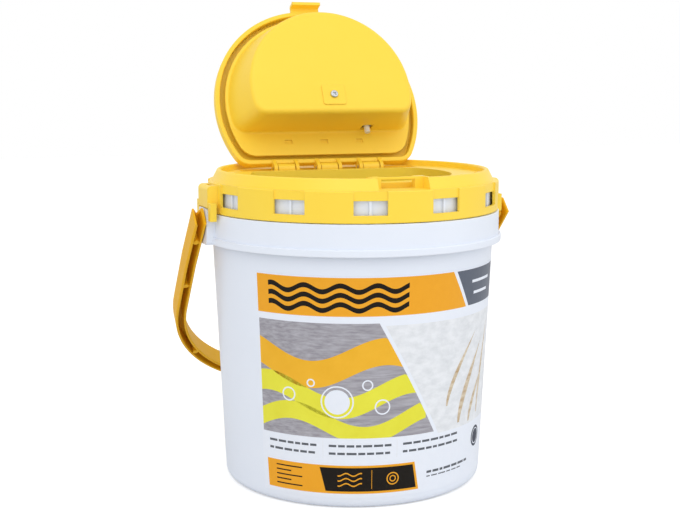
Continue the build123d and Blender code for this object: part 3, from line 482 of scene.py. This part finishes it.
# Picture inks, with grain stretched along the planks, the reeds or the ripples that they stand for
PLANK_INK = PrintedInk("weathered_plank_ink", "#b5b4bc", "#8f8c94", 5.0, (0.25, 1.0, 3.0), (0.3, 0.7))
LEMON_INK = PrintedInk("lemon_ink", "#ebe94a", "#e2dc3c", 20.0)
GOLDEN_INK = PrintedInk("golden_ink", "#f5bb35", "#eaae28", 20.0)
PALE_WATER_INK = PrintedInk("pale_water_ink", "#eceff4", "#d9dde2", 9.0, (1.0, 1.0, 1.6), (0.35, 0.75))
TAN_INK = PrintedInk("tan_ink", "#b79a72", "#dcd0bb", 7.0, (0.6, 1.0, 2.0), (0.3, 0.65))
NAVY_INK = PrintedInk("navy_ink", "#232d47", "#1c2438")


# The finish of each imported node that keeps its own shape
NODE_FINISHES: dict[str, Finish] = {
    "pail": WHITE_PAIL,
    "foam_sleeve": FOAM,
    "foam_base": FOAM,
    "lid": YELLOW_LID,
    "hinge_pins": PIN_STEEL,
    "hatch_cover": YELLOW_HATCH,
    "aerator_tray": YELLOW_HATCH,
    "aerator_case": WHITE_UNIT,
    "tray_screw": SCREW_STEEL,
    "case_gasket": GASKET_RUBBER,
    "case_plate": WHITE_UNIT,
    "case_screws": SCREW_STEEL,
    "battery_cells": CELL_JACKET,
    "battery_contacts": CONTACT_METAL,
    "battery_door": WHITE_DOOR,
    "switch_body": BLACK_SWITCH,
    "rocker_switch": BLACK_SWITCH,
    "pump_motor": MOTOR_CAN,
    "crank_wheel": PUMP_PLASTIC,
    "pump_arm": PUMP_PLASTIC,
    "pump_diaphragm": DIAPHRAGM_RUBBER,
    "pump_body": PUMP_PLASTIC,
    "air_tube": TUBE_SILICONE,
    "air_nozzle": WHITE_NOZZLE,
    "motor_leads": LEAD_WIRE,
    "bail": YELLOW_BAIL,
}


@dataclass
class Wardrobe:
    """Makes each finish's material once and hands it out again."""

    made: dict[str, bpy.types.Material] = field(default_factory=dict)

    def material(self, finish: Finish) -> bpy.types.Material:
        """Give the material of a finish.

        Args:
            finish: One of the finishes above.

        Returns:
            Its material, built the first time it is asked for.
        """
        if finish.name not in self.made:
            self.made[finish.name] = finish.material()
        return self.made[finish.name]

    def dress(self, piece: bpy.types.Object, finish: Finish) -> None:
        """Put a finish's material in every material slot of a piece.

        Args:
            piece: The piece to dress.
            finish: What it is made of.
        """
        material = self.material(finish)
        if not piece.material_slots:
            piece.data.materials.append(material)
        for slot in piece.material_slots:
            slot.material = material


# ---- The printed label ---------------------------------------------------------------------------


class Layer(IntEnum):
    """How far out a printed piece lies: the film itself, and three levels of ink over it."""

    FILM = 0
    GROUND = 1
    MOTIF = 2
    HIGHLIGHT = 3


@dataclass(frozen=True)
class Wave:
    """A wavy line round the label."""

    rise_mm: float
    # Degrees of its own turn for each degree round the pail
    rate: float
    lag: float = 0.0

    def height(self, angle: float) -> float:
        """How far the line stands above its base at an angle."""
        return self.rise_mm * sin(radians(angle * self.rate + self.lag))


@dataclass
class LabelPress:
    """Lays the label's film and inks round the front of the pail, as closed, very thin pieces.

    Places on the label are (degrees from the front, millimetres up), as seen when one faces the pail.
    """

    wardrobe: Wardrobe
    bottom: float
    top: float
    # The pail's wall under the label, a cone that widens upwards
    base_radius_mm: float = 104.2
    wall_slope: float = 9.0 / 194.0
    half_angle: float = 60.0
    # Degrees between the cuts that let a flat outline follow the wall
    column: float = 2.0
    # Height, near the label's middle, at which lengths round the wall are turned into degrees
    gauge_height: float = 90.0
    # How far the film's underside and its face stand off the wall
    glue_mm: float = 0.06
    film_mm: float = 0.25
    # How far each level of ink stands out over the one before
    ink_mm: float = 0.03
    # Depth of an ink's own body, in levels, so that it sinks a little into what it lies on
    ink_depth: float = 1.4
    # A strip between two curves is left out where it is thinner than this
    thinnest_mm: float = 0.05

    @classmethod
    def at_packed_label(cls, wardrobe: Wardrobe) -> "LabelPress":
        """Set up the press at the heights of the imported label.

        Args:
            wardrobe: Where the inks come from.

        Returns:
            The press.
        """
        # Rounded to a micrometre, because the frame's meshes are kept in single precision
        bottom, top = (round(corner[2] / MM, 3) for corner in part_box("pail_label"))
        return cls(wardrobe, bottom, top)

    def degrees(self, length_mm: float) -> float:
        """Turn a length round the wall into degrees."""
        return length_mm / (self.base_radius_mm + self.wall_slope * self.gauge_height) * 180 / pi

    def wrap(self, angle: float, height: float, lift_mm: float) -> Vector:
        """Give the point in space of a place on the label.

        Args:
            angle: Degrees from the front.
            height: Millimetres up.
            lift_mm: How far it stands off the pail's wall.

        Returns:
            The point, in metres.
        """
        radius = (self.base_radius_mm + self.wall_slope * height + lift_mm) * MM
        turn = radians(angle)
        return Vector((radius * sin(turn), -radius * cos(turn), height * MM))

    def lay(
        self,
        name: str,
        outlines: Iterable[Outline],
        finish: PrintedInk,
        layer: Layer,
    ) -> bpy.types.Object:
        """Lay flat outlines round the wall as one closed piece that rides on the pail.

        Args:
            name: The piece's name.
            outlines: Closed outlines, each anticlockwise as seen from outside.
            finish: The ink.
            layer: How deep in the print it lies.

        Returns:
            The new piece.
        """
        flat = bmesh.new()
        for outline in outlines:
            flat.faces.new([flat.verts.new((x, z, 0)) for x, z in outline])
        self.cut_columns(flat)
        top_lift = self.film_mm + self.ink_mm * layer
        base_lift = self.glue_mm if layer == Layer.FILM else top_lift - self.ink_mm * self.ink_depth
        self.thicken(flat, base_lift, top_lift)
        mesh = bpy.data.meshes.new(name)
        flat.to_mesh(mesh)
        flat.free()
        piece = bpy.data.objects.new(name, mesh)
        bpy.context.scene.collection.objects.link(piece)
        self.wardrobe.dress(piece, finish)
        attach(piece, "pail")
        log.info("laid %s with %d faces", name, len(mesh.polygons))
        return piece

    def cut_columns(self, flat: bmesh.types.BMesh) -> None:
        """Cut flat faces into upright columns, narrow enough to bend round the wall.

        Args:
            flat: The faces, with degrees as x and millimetres as y.
        """
        for column in range(int(self.half_angle * 2 / self.column) + 1):
            cut = column * self.column - self.half_angle
            everything = flat.verts[:] + flat.edges[:] + flat.faces[:]
            bmesh.ops.bisect_plane(flat, geom=everything, plane_co=(cut, 0, 0), plane_no=(1, 0, 0))
        bmesh.ops.triangulate(flat, faces=flat.faces[:])

    def thicken(self, flat: bmesh.types.BMesh, base_lift: float, top_lift: float) -> None:
        """Give flat faces an underside and a rim, and wrap both sides round the wall.

        Args:
            flat: The faces, with degrees as x and millimetres as y.
            base_lift: How far the underside stands off the wall, in millimetres.
            top_lift: How far the face stands off the wall.
        """
        under = bmesh.ops.duplicate(flat, geom=flat.verts[:] + flat.edges[:] + flat.faces[:])
        lower_faces = [item for item in under["geom"] if isinstance(item, bmesh.types.BMFace)]
        lower_verts = {item for item in under["geom"] if isinstance(item, bmesh.types.BMVert)}
        twin = under["vert_map"]
        rim = [edge for edge in flat.edges if edge.is_boundary and edge.verts[0] not in lower_verts]
        bmesh.ops.reverse_faces(flat, faces=lower_faces)
        for edge in rim:
            first, second = edge.verts
            flat.faces.new((second, first, twin[first], twin[second]))
        for vert in flat.verts:
            lift = base_lift if vert in lower_verts else top_lift
            vert.co = self.wrap(vert.co.x, vert.co.y, lift)
        bmesh.ops.recalc_face_normals(flat, faces=flat.faces[:])

    # Outlines --------------------------------------------------------------------------------

    def block(self, left: float, right: float, low: float, high: float) -> Outline:
        """Outline a rectangle between two angles and two heights."""
        return [(left, low), (right, low), (right, high), (left, high)]

    def disc(self, angle: float, height: float, radius_mm: float, sides: int = 28) -> Outline:
        """Outline a round spot.

        Args:
            angle: Its middle, in degrees.
            height: Its middle, in millimetres.
            radius_mm: Its radius.
            sides: How many corners stand for its edge.

        Returns:
            The outline.
        """
        wide = self.degrees(radius_mm)
        turns = [2 * pi * i / sides for i in range(sides)]
        return [(angle + wide * cos(t), height + radius_mm * sin(t)) for t in turns]

    def hoop(
        self,
        angle: float,
        height: float,
        outer_mm: float,
        inner_mm: float,
        sides: int = 32,
    ) -> list[Outline]:
        """Outline a ring, as a chain of four-sided pieces.

        Args:
            angle: Its middle, in degrees.
            height: Its middle, in millimetres.
            outer_mm: Its outer radius.
            inner_mm: Its inner radius.
            sides: How many pieces it is made of.

        Returns:
            The pieces.
        """
        quads = []
        for i in range(sides):
            ends = (2 * pi * i / sides, 2 * pi * (i + 1) / sides)
            far = [(angle + self.degrees(outer_mm) * cos(t), height + outer_mm * sin(t)) for t in ends]
            near = [(angle + self.degrees(inner_mm) * cos(t), height + inner_mm * sin(t)) for t in ends]
            quads.append([far[0], far[1], near[1], near[0]])
        return quads

    def band(
        self,
        ends: Span,
        lower: Callable[[float], float],
        upper: Callable[[float], float],
        pitch: float,
    ) -> list[Outline]:
        """Outline the strip between two curves, as a chain of four-sided pieces.

        Args:
            ends: Where it starts and ends, in degrees.
            lower: Height of the lower curve at an angle.
            upper: Height of the upper curve at an angle.
            pitch: Degrees between its cuts, about.

        Returns:
            The pieces, left to right. Where the curves cross, nothing is laid.
        """
        left, right = ends
        count = max(1, round((right - left) / pitch))
        stops = [left + (right - left) * i / count for i in range(count + 1)]
        quads = []
        for a, b in zip(stops, stops[1:]):
            low_a, low_b, high_a, high_b = lower(a), lower(b), upper(a), upper(b)
            if min(high_a - low_a, high_b - low_b) > self.thinnest_mm:
                quads.append([(a, low_a), (b, low_b), (b, high_b), (a, high_a)])
        return quads

    def ribbons(
        self,
        wave: Wave,
        bases: Iterable[float],
        ends: Span,
        half_mm: float,
        pitch: float,
    ) -> list[Outline]:
        """Outline like wavy ribbons, one above another.

        Args:
            wave: The line that each follows.
            bases: The heights of their middles.
            ends: Where they start and end, in degrees.
            half_mm: Half of a ribbon's height.
            pitch: Degrees between its cuts, about.

        Returns:
            The pieces.
        """
        quads: list[Outline] = []
        for base in bases:
            quads += self.band(
                ends,
                lower=lambda angle: base + wave.height(angle) - half_mm,
                upper=lambda angle: base + wave.height(angle) + half_mm,
                pitch=pitch,
            )
        return quads


# ---- Printed areas -------------------------------------------------------------------------------


@dataclass(frozen=True)
class Banner:
    """The orange banner with bold waves, and the slate block beside it."""

    orange: Outline = ((-59.5, 149.0), (31.2, 149.6), (22.6, 178.3), (-59.5, 178.3))
    wave: Wave = Wave(rise_mm=2.4, rate=25.7)
    wave_heights: tuple[float, ...] = (156.0, 163.0, 170.0)
    wave_ends: Span = (-54.0, 2.0)
    wave_half_mm: float = 1.9
    wave_pitch: float = 0.7
    slate: Outline = ((32.9, 149.8), (58.5, 149.8), (58.5, 178.0), (24.6, 178.0))
    # Left, right, lower and upper edge of each pale bar on the slate
    slate_bars: tuple[Edges, ...] = (
        (35.0, 52.0, 167.0, 169.2),
        (36.5, 50.0, 158.0, 160.2),
    )

    def lay(self, press: LabelPress) -> None:
        """Lay the two blocks, then what is printed over them.

        Args:
            press: The press that lays them.
        """
        press.lay("label_banner", [self.orange], ORANGE_INK, Layer.GROUND)
        press.lay("label_slate_block", [self.slate], SLATE_INK, Layer.GROUND)
        waves = press.ribbons(
            self.wave, self.wave_heights, self.wave_ends, self.wave_half_mm, self.wave_pitch
        )
        press.lay("label_banner_waves", waves, BLACK_INK, Layer.MOTIF)
        bars = [press.block(*edges) for edges in self.slate_bars]
        press.lay("label_slate_bars", bars, LABEL_FILM, Layer.MOTIF)


@dataclass(frozen=True)
class Seam:
    """The slanting line at which the two picture areas meet, given by its head and its lean."""

    head_angle: float = -10.2
    head_height: float = 146.0
    across: float = 24.8
    down_mm: float = 87.0

    def angle(self, height: float) -> float:
        """The line's angle at a height."""
        return self.head_angle + (self.head_height - height) * self.across / self.down_mm

    def height(self, angle: float) -> float:
        """The line's height at an angle."""
        return self.head_height - (angle - self.head_angle) * self.down_mm / self.across


@dataclass(frozen=True)
class Swell:
    """One rolling swell, between two like waves."""

    foot: float
    head: float
    lag: float
    rise_mm: float = 9.0
    rate: float = 6.0

    @property
    def wave(self) -> Wave:
        """The line that its foot and its head follow."""
        return Wave(self.rise_mm, self.rate, self.lag)


@dataclass(frozen=True)
class Bubble:
    """A ring, with a filled core where one is given."""

    angle: float
    height: float
    radius_mm: float
    core_mm: float = 0.0


@dataclass(frozen=True)
class SwellPicture:
    """Rolling yellow swells with white bubbles over weathered planks, left of the seam."""

    seam: Seam = Seam()
    left: float = -59.2
    low: float = 56.0
    high: float = 144.0
    lemon_swells: tuple[Swell, ...] = (Swell(60.0, 74.0, lag=0.0), Swell(80.0, 96.0, lag=60.0))
    golden_swells: tuple[Swell, ...] = (Swell(103.0, 124.0, lag=130.0),)
    swell_right: float = 14.0
    swell_pitch: float = 1.0
    bubbles: tuple[Bubble, ...] = (
        Bubble(-46.0, 88.0, 5.5),
        Bubble(-36.5, 98.0, 3.2),
        Bubble(-26.0, 84.0, 12.5, core_mm=9.5),
        Bubble(-14.0, 97.0, 4.2),
        Bubble(-8.0, 80.0, 6.0),
    )
    bubble_wall_mm: float = 1.1

    def lay(self, press: LabelPress) -> None:
        """Lay the planks, the swells over them, and the bubbles over those.

        Args:
            press: The press that lays them.
        """
        area = [
            (self.left, self.low),
            (self.seam.angle(self.low), self.low),
            (self.seam.angle(self.high), self.high),
            (self.left, self.high),
        ]
        press.lay("label_planks", [area], PLANK_INK, Layer.GROUND)
        lemon = self.outline_swells(press, self.lemon_swells)
        golden = self.outline_swells(press, self.golden_swells)
        press.lay("label_lemon_swells", lemon, LEMON_INK, Layer.MOTIF)
        press.lay("label_golden_swells", golden, GOLDEN_INK, Layer.MOTIF)
        press.lay("label_bubbles", self.outline_bubbles(press), LABEL_FILM, Layer.HIGHLIGHT)

    def clip(self, height: float) -> float:
        """Keep a height inside the picture."""
        return min(max(height, self.low), self.high)

    def outline_swells(self, press: LabelPress, swells: Iterable[Swell]) -> list[Outline]:
        """Outline swells, cut off by the picture's edges and by the seam.

        Args:
            press: The press that outlines them.
            swells: The swells.

        Returns:
            The pieces.
        """
        ends = (self.left, self.swell_right)
        seam = self.seam
        quads: list[Outline] = []
        for swell in swells:
            wave = swell.wave
            quads += press.band(
                ends,
                lower=lambda angle: self.clip(swell.foot + wave.height(angle)),
                upper=lambda angle: self.clip(min(swell.head + wave.height(angle), seam.height(angle))),
                pitch=self.swell_pitch,
            )
        return quads

    def outline_bubbles(self, press: LabelPress) -> list[Outline]:
        """Outline the rings, then the filled cores.

        Args:
            press: The press that outlines them.

        Returns:
            The pieces.
        """
        shapes: list[Outline] = []
        for bubble in self.bubbles:
            inner_mm = bubble.radius_mm - self.bubble_wall_mm
            shapes += press.hoop(bubble.angle, bubble.height, bubble.radius_mm, inner_mm)
        shapes += [press.disc(b.angle, b.height, b.core_mm) for b in self.bubbles if b.core_mm]
        return shapes


@dataclass(frozen=True)
class Reed:
    """One reed, which leans more as it rises, widens above its root and narrows to its tip."""

    root: float
    foot: float
    tip: float
    lean: float
    wide: float
    steps: int = 14
    bend: float = 1.6
    # Where on half a wave its width starts: 0 would be a point, and 0.5 its widest
    root_width: float = 0.12

    def outline(self) -> list[Outline]:
        """Outline the reed from its root up.

        Returns:
            A chain of four-sided pieces.
        """
        shares = [i / self.steps for i in range(self.steps + 1)]
        rise = self.tip - self.foot
        spine = [(self.root + self.lean * s**self.bend, self.foot + rise * s) for s in shares]
        half = [self.wide * sin(pi * (self.root_width + (1 - self.root_width) * s)) / 2 for s in shares]
        quads: list[Outline] = []
        for (a, low), (b, high), w, v in zip(spine, spine[1:], half, half[1:]):
            quads.append([(a - w, low), (a + w, low), (b + v, high), (b - v, high)])
        return quads


@dataclass(frozen=True)
class ReedPicture:
    """Pale water with tan reeds that lean in it, right of the seam."""

    seam: Seam = Seam()
    seam_gap: float = 1.8
    right: float = 58.5
    low: float = 54.0
    high: float = 142.0
    reeds: tuple[Reed, ...] = (
        Reed(root=30.0, foot=58.0, tip=118.0, lean=16.0, wide=3.4),
        Reed(root=38.0, foot=56.0, tip=96.0, lean=12.0, wide=2.6),
        Reed(root=22.0, foot=74.0, tip=128.0, lean=18.0, wide=2.4),
        Reed(root=46.0, foot=60.0, tip=132.0, lean=8.0, wide=2.2),
    )

    def lay(self, press: LabelPress) -> None:
        """Lay the water, then the reeds.

        Args:
            press: The press that lays them.
        """
        area = [
            (self.seam.angle(self.low) + self.seam_gap, self.low),
            (self.right, self.low),
            (self.right, self.high),
            (self.seam.angle(self.high) + self.seam_gap, self.high),
        ]
        press.lay("label_pale_water", [area], PALE_WATER_INK, Layer.GROUND)
        stems = [quad for reed in self.reeds for quad in reed.outline()]
        press.lay("label_reeds", stems, TAN_INK, Layer.MOTIF)


@dataclass(frozen=True)
class BarRow:
    """A row of short plain bars of uneven length."""

    seed: int
    left: float
    right: float
    height: float
    tall: float
    # Shortest and longest bar, the space after each, and the least room that a last bar needs
    lengths: Span = (1.6, 4.2)
    space: float = 0.7
    least_room: float = 1.0

    def outline(self, press: LabelPress) -> list[Outline]:
        """Outline the bars from left to right, with lengths drawn from the row's seed.

        Args:
            press: The press that outlines them.

        Returns:
            The bars.
        """
        dice = random.Random(self.seed)
        bars = []
        at = self.left
        while at < self.right - self.least_room:
            end = min(at + dice.uniform(*self.lengths), self.right)
            bars.append(press.block(at, end, self.height, self.height + self.tall))
            at = end + self.space
        return bars


@dataclass(frozen=True)
class BarColumns:
    """Grey bars in three columns with rules between, two rows of them low down, and a round badge."""

    column_ends: tuple[Span, ...] = ((-56.0, -34.5), (-29.5, -4.0), (1.0, 30.5))
    column_heights: tuple[float, ...] = (49.0, 43.0)
    column_tall: float = 1.8
    # Seeds count up by one for each row, and by this for each column
    column_seeds: int = 10
    low_rows: tuple[BarRow, ...] = (
        BarRow(71, 12.5, 38.5, 23.6, tall=1.9),
        BarRow(72, 12.5, 34.0, 20.6, tall=0.9),
    )
    rule_angles: tuple[float, ...] = (-31.9, -1.6)
    rule_ends: Span = (40.0, 54.0)
    rule_half: float = 0.08
    badge: Point = (46.6, 40.0)
    badge_radius_mm: float = 8.5
    # Outer and inner radius of the ring on the badge
    badge_ring_mm: Span = (6.6, 5.8)

    def lay(self, press: LabelPress) -> None:
        """Lay the bars, the rules and the badge.

        Args:
            press: The press that lays them.
        """
        rows = [
            BarRow(column * self.column_seeds + line, left, right, height, self.column_tall)
            for column, (left, right) in enumerate(self.column_ends)
            for line, height in enumerate(self.column_heights)
        ]
        bars = [bar for row in (*rows, *self.low_rows) for bar in row.outline(press)]
        press.lay("label_small_bars", bars, GREY_BAR_INK, Layer.GROUND)
        edges = [(angle - self.rule_half, angle + self.rule_half) for angle in self.rule_angles]
        rules = [press.block(*edge, *self.rule_ends) for edge in edges]
        press.lay("label_rules", rules, PALE_WATER_INK, Layer.GROUND)
        spot = press.disc(*self.badge, self.badge_radius_mm)
        press.lay("label_badge", [spot], NAVY_INK, Layer.MOTIF)
        ring = press.hoop(*self.badge, *self.badge_ring_mm)
        press.lay("label_badge_ring", ring, LABEL_FILM, Layer.HIGHLIGHT)


@dataclass(frozen=True)
class LevelStrip:
    """The orange block with level marks, and the black block with ripples, a line and two rings."""

    orange: Outline = ((-57.2, 12.4), (8.6, 12.4), (6.4, 34.6), (-57.6, 34.6))
    black: Outline = ((-31.0, 14.2), (7.4, 14.2), (5.6, 32.8), (-33.4, 32.8))
    marks: int = 5
    mark_left: float = -53.0
    # Right ends of the marks, by turns
    mark_rights: Span = (-41.0, -46.0)
    mark_lowest: float = 16.0
    mark_pitch: float = 3.6
    mark_tall: float = 1.0
    ripple: Wave = Wave(rise_mm=1.1, rate=60.0)
    ripple_heights: tuple[float, ...] = (19.5, 23.5, 27.5)
    ripple_ends: Span = (-26.0, -16.0)
    ripple_half_mm: float = 0.5
    ripple_pitch: float = 0.5
    # Left, right, lower and upper edge of the line between the ripples and the rings
    line: Edges = (-12.1, -11.9, 16.0, 31.0)
    rings: Point = (-3.2, 23.5)
    # Outer and inner radius of each ring
    rings_mm: tuple[Span, ...] = ((5.0, 4.1), (2.6, 1.8))

    def lay(self, press: LabelPress) -> None:
        """Lay the two blocks, the marks on the one and the shapes on the other.

        Args:
            press: The press that lays them.
        """
        press.lay("label_strip", [self.orange], ORANGE_INK, Layer.GROUND)
        press.lay("label_strip_black", [self.black], BLACK_INK, Layer.MOTIF)
        marks = []
        for mark in range(self.marks):
            low = self.mark_lowest + mark * self.mark_pitch
            right = self.mark_rights[mark % len(self.mark_rights)]
            marks.append(press.block(self.mark_left, right, low, low + self.mark_tall))
        press.lay("label_level_marks", marks, BLACK_INK, Layer.MOTIF)
        shapes = press.ribbons(
            self.ripple, self.ripple_heights, self.ripple_ends, self.ripple_half_mm, self.ripple_pitch
        )
        for radii in self.rings_mm:
            shapes += press.hoop(*self.rings, *radii)
        shapes.append(press.block(*self.line))
        press.lay("label_signs", shapes, ORANGE_INK, Layer.HIGHLIGHT)


class PrintedArea(Protocol):
    """A part of the print that lays its own pieces."""

    def lay(self, press: LabelPress) -> None:
        """Lay its pieces."""


@dataclass
class PrintedLabel:
    """The film round the front of the pail, with its blocks and motifs as thin inlays of ink."""

    press: LabelPress
    areas: tuple[PrintedArea, ...] = (Banner(), SwellPicture(), ReedPicture(), BarColumns(), LevelStrip())

    def build(self) -> None:
        """Lay the film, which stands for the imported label, and every printed area over it."""
        press = self.press
        whole = press.block(-press.half_angle, press.half_angle, press.bottom, press.top)
        film = press.lay("label_film", [whole], LABEL_FILM, Layer.FILM)
        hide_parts("pail_label")
        for area in self.areas:
            area.lay(press)


# ---- The object as a whole -----------------------------------------------------------------------


@dataclass
class BucketDressing:
    """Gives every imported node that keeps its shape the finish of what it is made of."""

    wardrobe: Wardrobe

    def dress(self) -> None:
        """Dress the nodes one by one."""
        for node, finish in NODE_FINISHES.items():
            self.wardrobe.dress(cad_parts[node], finish)
            log.info("dressed %s in %s", node, finish.name)


# ---- Studio --------------------------------------------------------------------------------------


@dataclass(frozen=True)
class SoftLamp:
    """A square soft lamp, with its place and side in metres and its power in watts."""

    name: str
    place: Triple
    size: float
    watts: float


@dataclass
class Studio:
    """A pale floor, soft lamps, a white sky, and a camera where the photograph was taken from."""

    camera_place: Triple = (-0.3479, -0.9522, 0.3255)
    camera_turn: Triple = (81.777, 0.0, -19.5)
    lens_mm: float = 66.39
    sensor_mm: float = 36.0
    floor_size: float = 8.0
    floor_colour: str = "#e6e6e6"
    floor_roughness: float = 0.9
    # Light that the floor adds of its own, for the camera alone, so that it reads white
    floor_lift: float = 0.42
    # The sky's strength as a light
    sky: float = 0.8
    # The middle of the bucket, which every lamp faces
    aim: Triple = (0.0, 0.0, 0.2)
    lamps: tuple[SoftLamp, ...] = (
        SoftLamp("key", (-1.1, -1.5, 1.5), size=1.6, watts=6.5),
        SoftLamp("fill", (1.5, -1.2, 0.9), size=1.6, watts=5.0),
        SoftLamp("top", (-0.1, -0.8, 1.8), size=1.8, watts=7.0),
    )

    def build(self) -> None:
        """Set up the floor, the lamps, the sky and the camera."""
        self.lay_floor()
        for lamp in self.lamps:
            self.hang_lamp(lamp)
        self.paint_sky()
        self.stand_camera()
        bpy.context.scene.view_settings.view_transform = "Standard"

    def lay_floor(self) -> None:
        """A pale floor that reads white to the camera and keeps the object's soft shadow."""
        half = self.floor_size / 2
        mesh = bpy.data.meshes.new("floor")
        corners = [(-half, -half, 0), (half, -half, 0), (half, half, 0), (-half, half, 0)]
        mesh.from_pydata(corners, [], [(0, 1, 2, 3)])
        floor = bpy.data.objects.new("floor", mesh)
        bpy.context.scene.collection.objects.link(floor)
        material, tree, shader = new_material("painted_floor")
        shader.inputs["Base Color"].default_value = linear(self.floor_colour)
        shader.inputs["Roughness"].default_value = self.floor_roughness
        seen = add_node(tree, "ShaderNodeLightPath")
        lift = add_node(
            tree,
            "ShaderNodeMath",
            {"operation": "MULTIPLY", 1: self.floor_lift},
            {0: seen.outputs["Is Camera Ray"]},
        )
        tree.links.new(lift.outputs["Value"], shader.inputs["Emission Strength"])
        shader.inputs["Emission Color"].default_value = WHITE
        mesh.materials.append(material)

    def hang_lamp(self, lamp: SoftLamp) -> None:
        """Hang a lamp so that it faces the middle of the object.

        Args:
            lamp: The lamp.
        """
        light = bpy.data.lights.new(lamp.name, "AREA")
        light.size = lamp.size
        light.energy = lamp.watts
        holder = bpy.data.objects.new(lamp.name, light)
        holder.location = lamp.place
        facing = Vector(self.aim) - Vector(lamp.place)
        holder.rotation_euler = facing.to_track_quat("-Z", "Y").to_euler()
        bpy.context.scene.collection.objects.link(holder)

    def paint_sky(self) -> None:
        """A white sky: full white to the camera and in reflections, softer as a light."""
        world = bpy.data.worlds.new("studio_sky")
        bpy.context.scene.world = world
        world.use_nodes = True
        tree = world.node_tree
        tree.nodes.clear()
        seen = add_node(tree, "ShaderNodeLightPath")
        white = seen.outputs["Is Camera Ray"]
        for ray in ("Is Glossy Ray", "Is Transmission Ray"):
            either = {0: white, 1: seen.outputs[ray]}
            white = add_node(tree, "ShaderNodeMath", {"operation": "MAXIMUM"}, either).outputs["Value"]
        levels = {"To Min": self.sky, "To Max": 1.0}
        strength = add_node(tree, "ShaderNodeMapRange", levels, {"Value": white})
        glow = {"Strength": strength.outputs["Result"]}
        sky = add_node(tree, "ShaderNodeBackground", {"Color": WHITE}, glow)
        add_node(tree, "ShaderNodeOutputWorld", links={"Surface": sky.outputs["Background"]})

    def stand_camera(self) -> None:
        """Put the camera at the photograph's viewing angle."""
        camera = bpy.data.cameras.new("camera")
        camera.lens = self.lens_mm
        camera.sensor_width = self.sensor_mm
        holder = bpy.data.objects.new("camera", camera)
        holder.location = self.camera_place
        holder.rotation_euler = [radians(angle) for angle in self.camera_turn]
        bpy.context.scene.collection.objects.link(holder)
        bpy.context.scene.camera = holder


# ---- Main ----------------------------------------------------------------------------------------


def main() -> None:
    """Build the studio, dress the nodes and add the pieces."""
    logging.basicConfig(level=logging.INFO, format="%(name)s: %(message)s")
    wardrobe = Wardrobe()
    Studio().build()
    BucketDressing(wardrobe).dress()
    PrintedLabel(LabelPress.at_packed_label(wardrobe)).build()


if __name__ == "__main__":
    main()
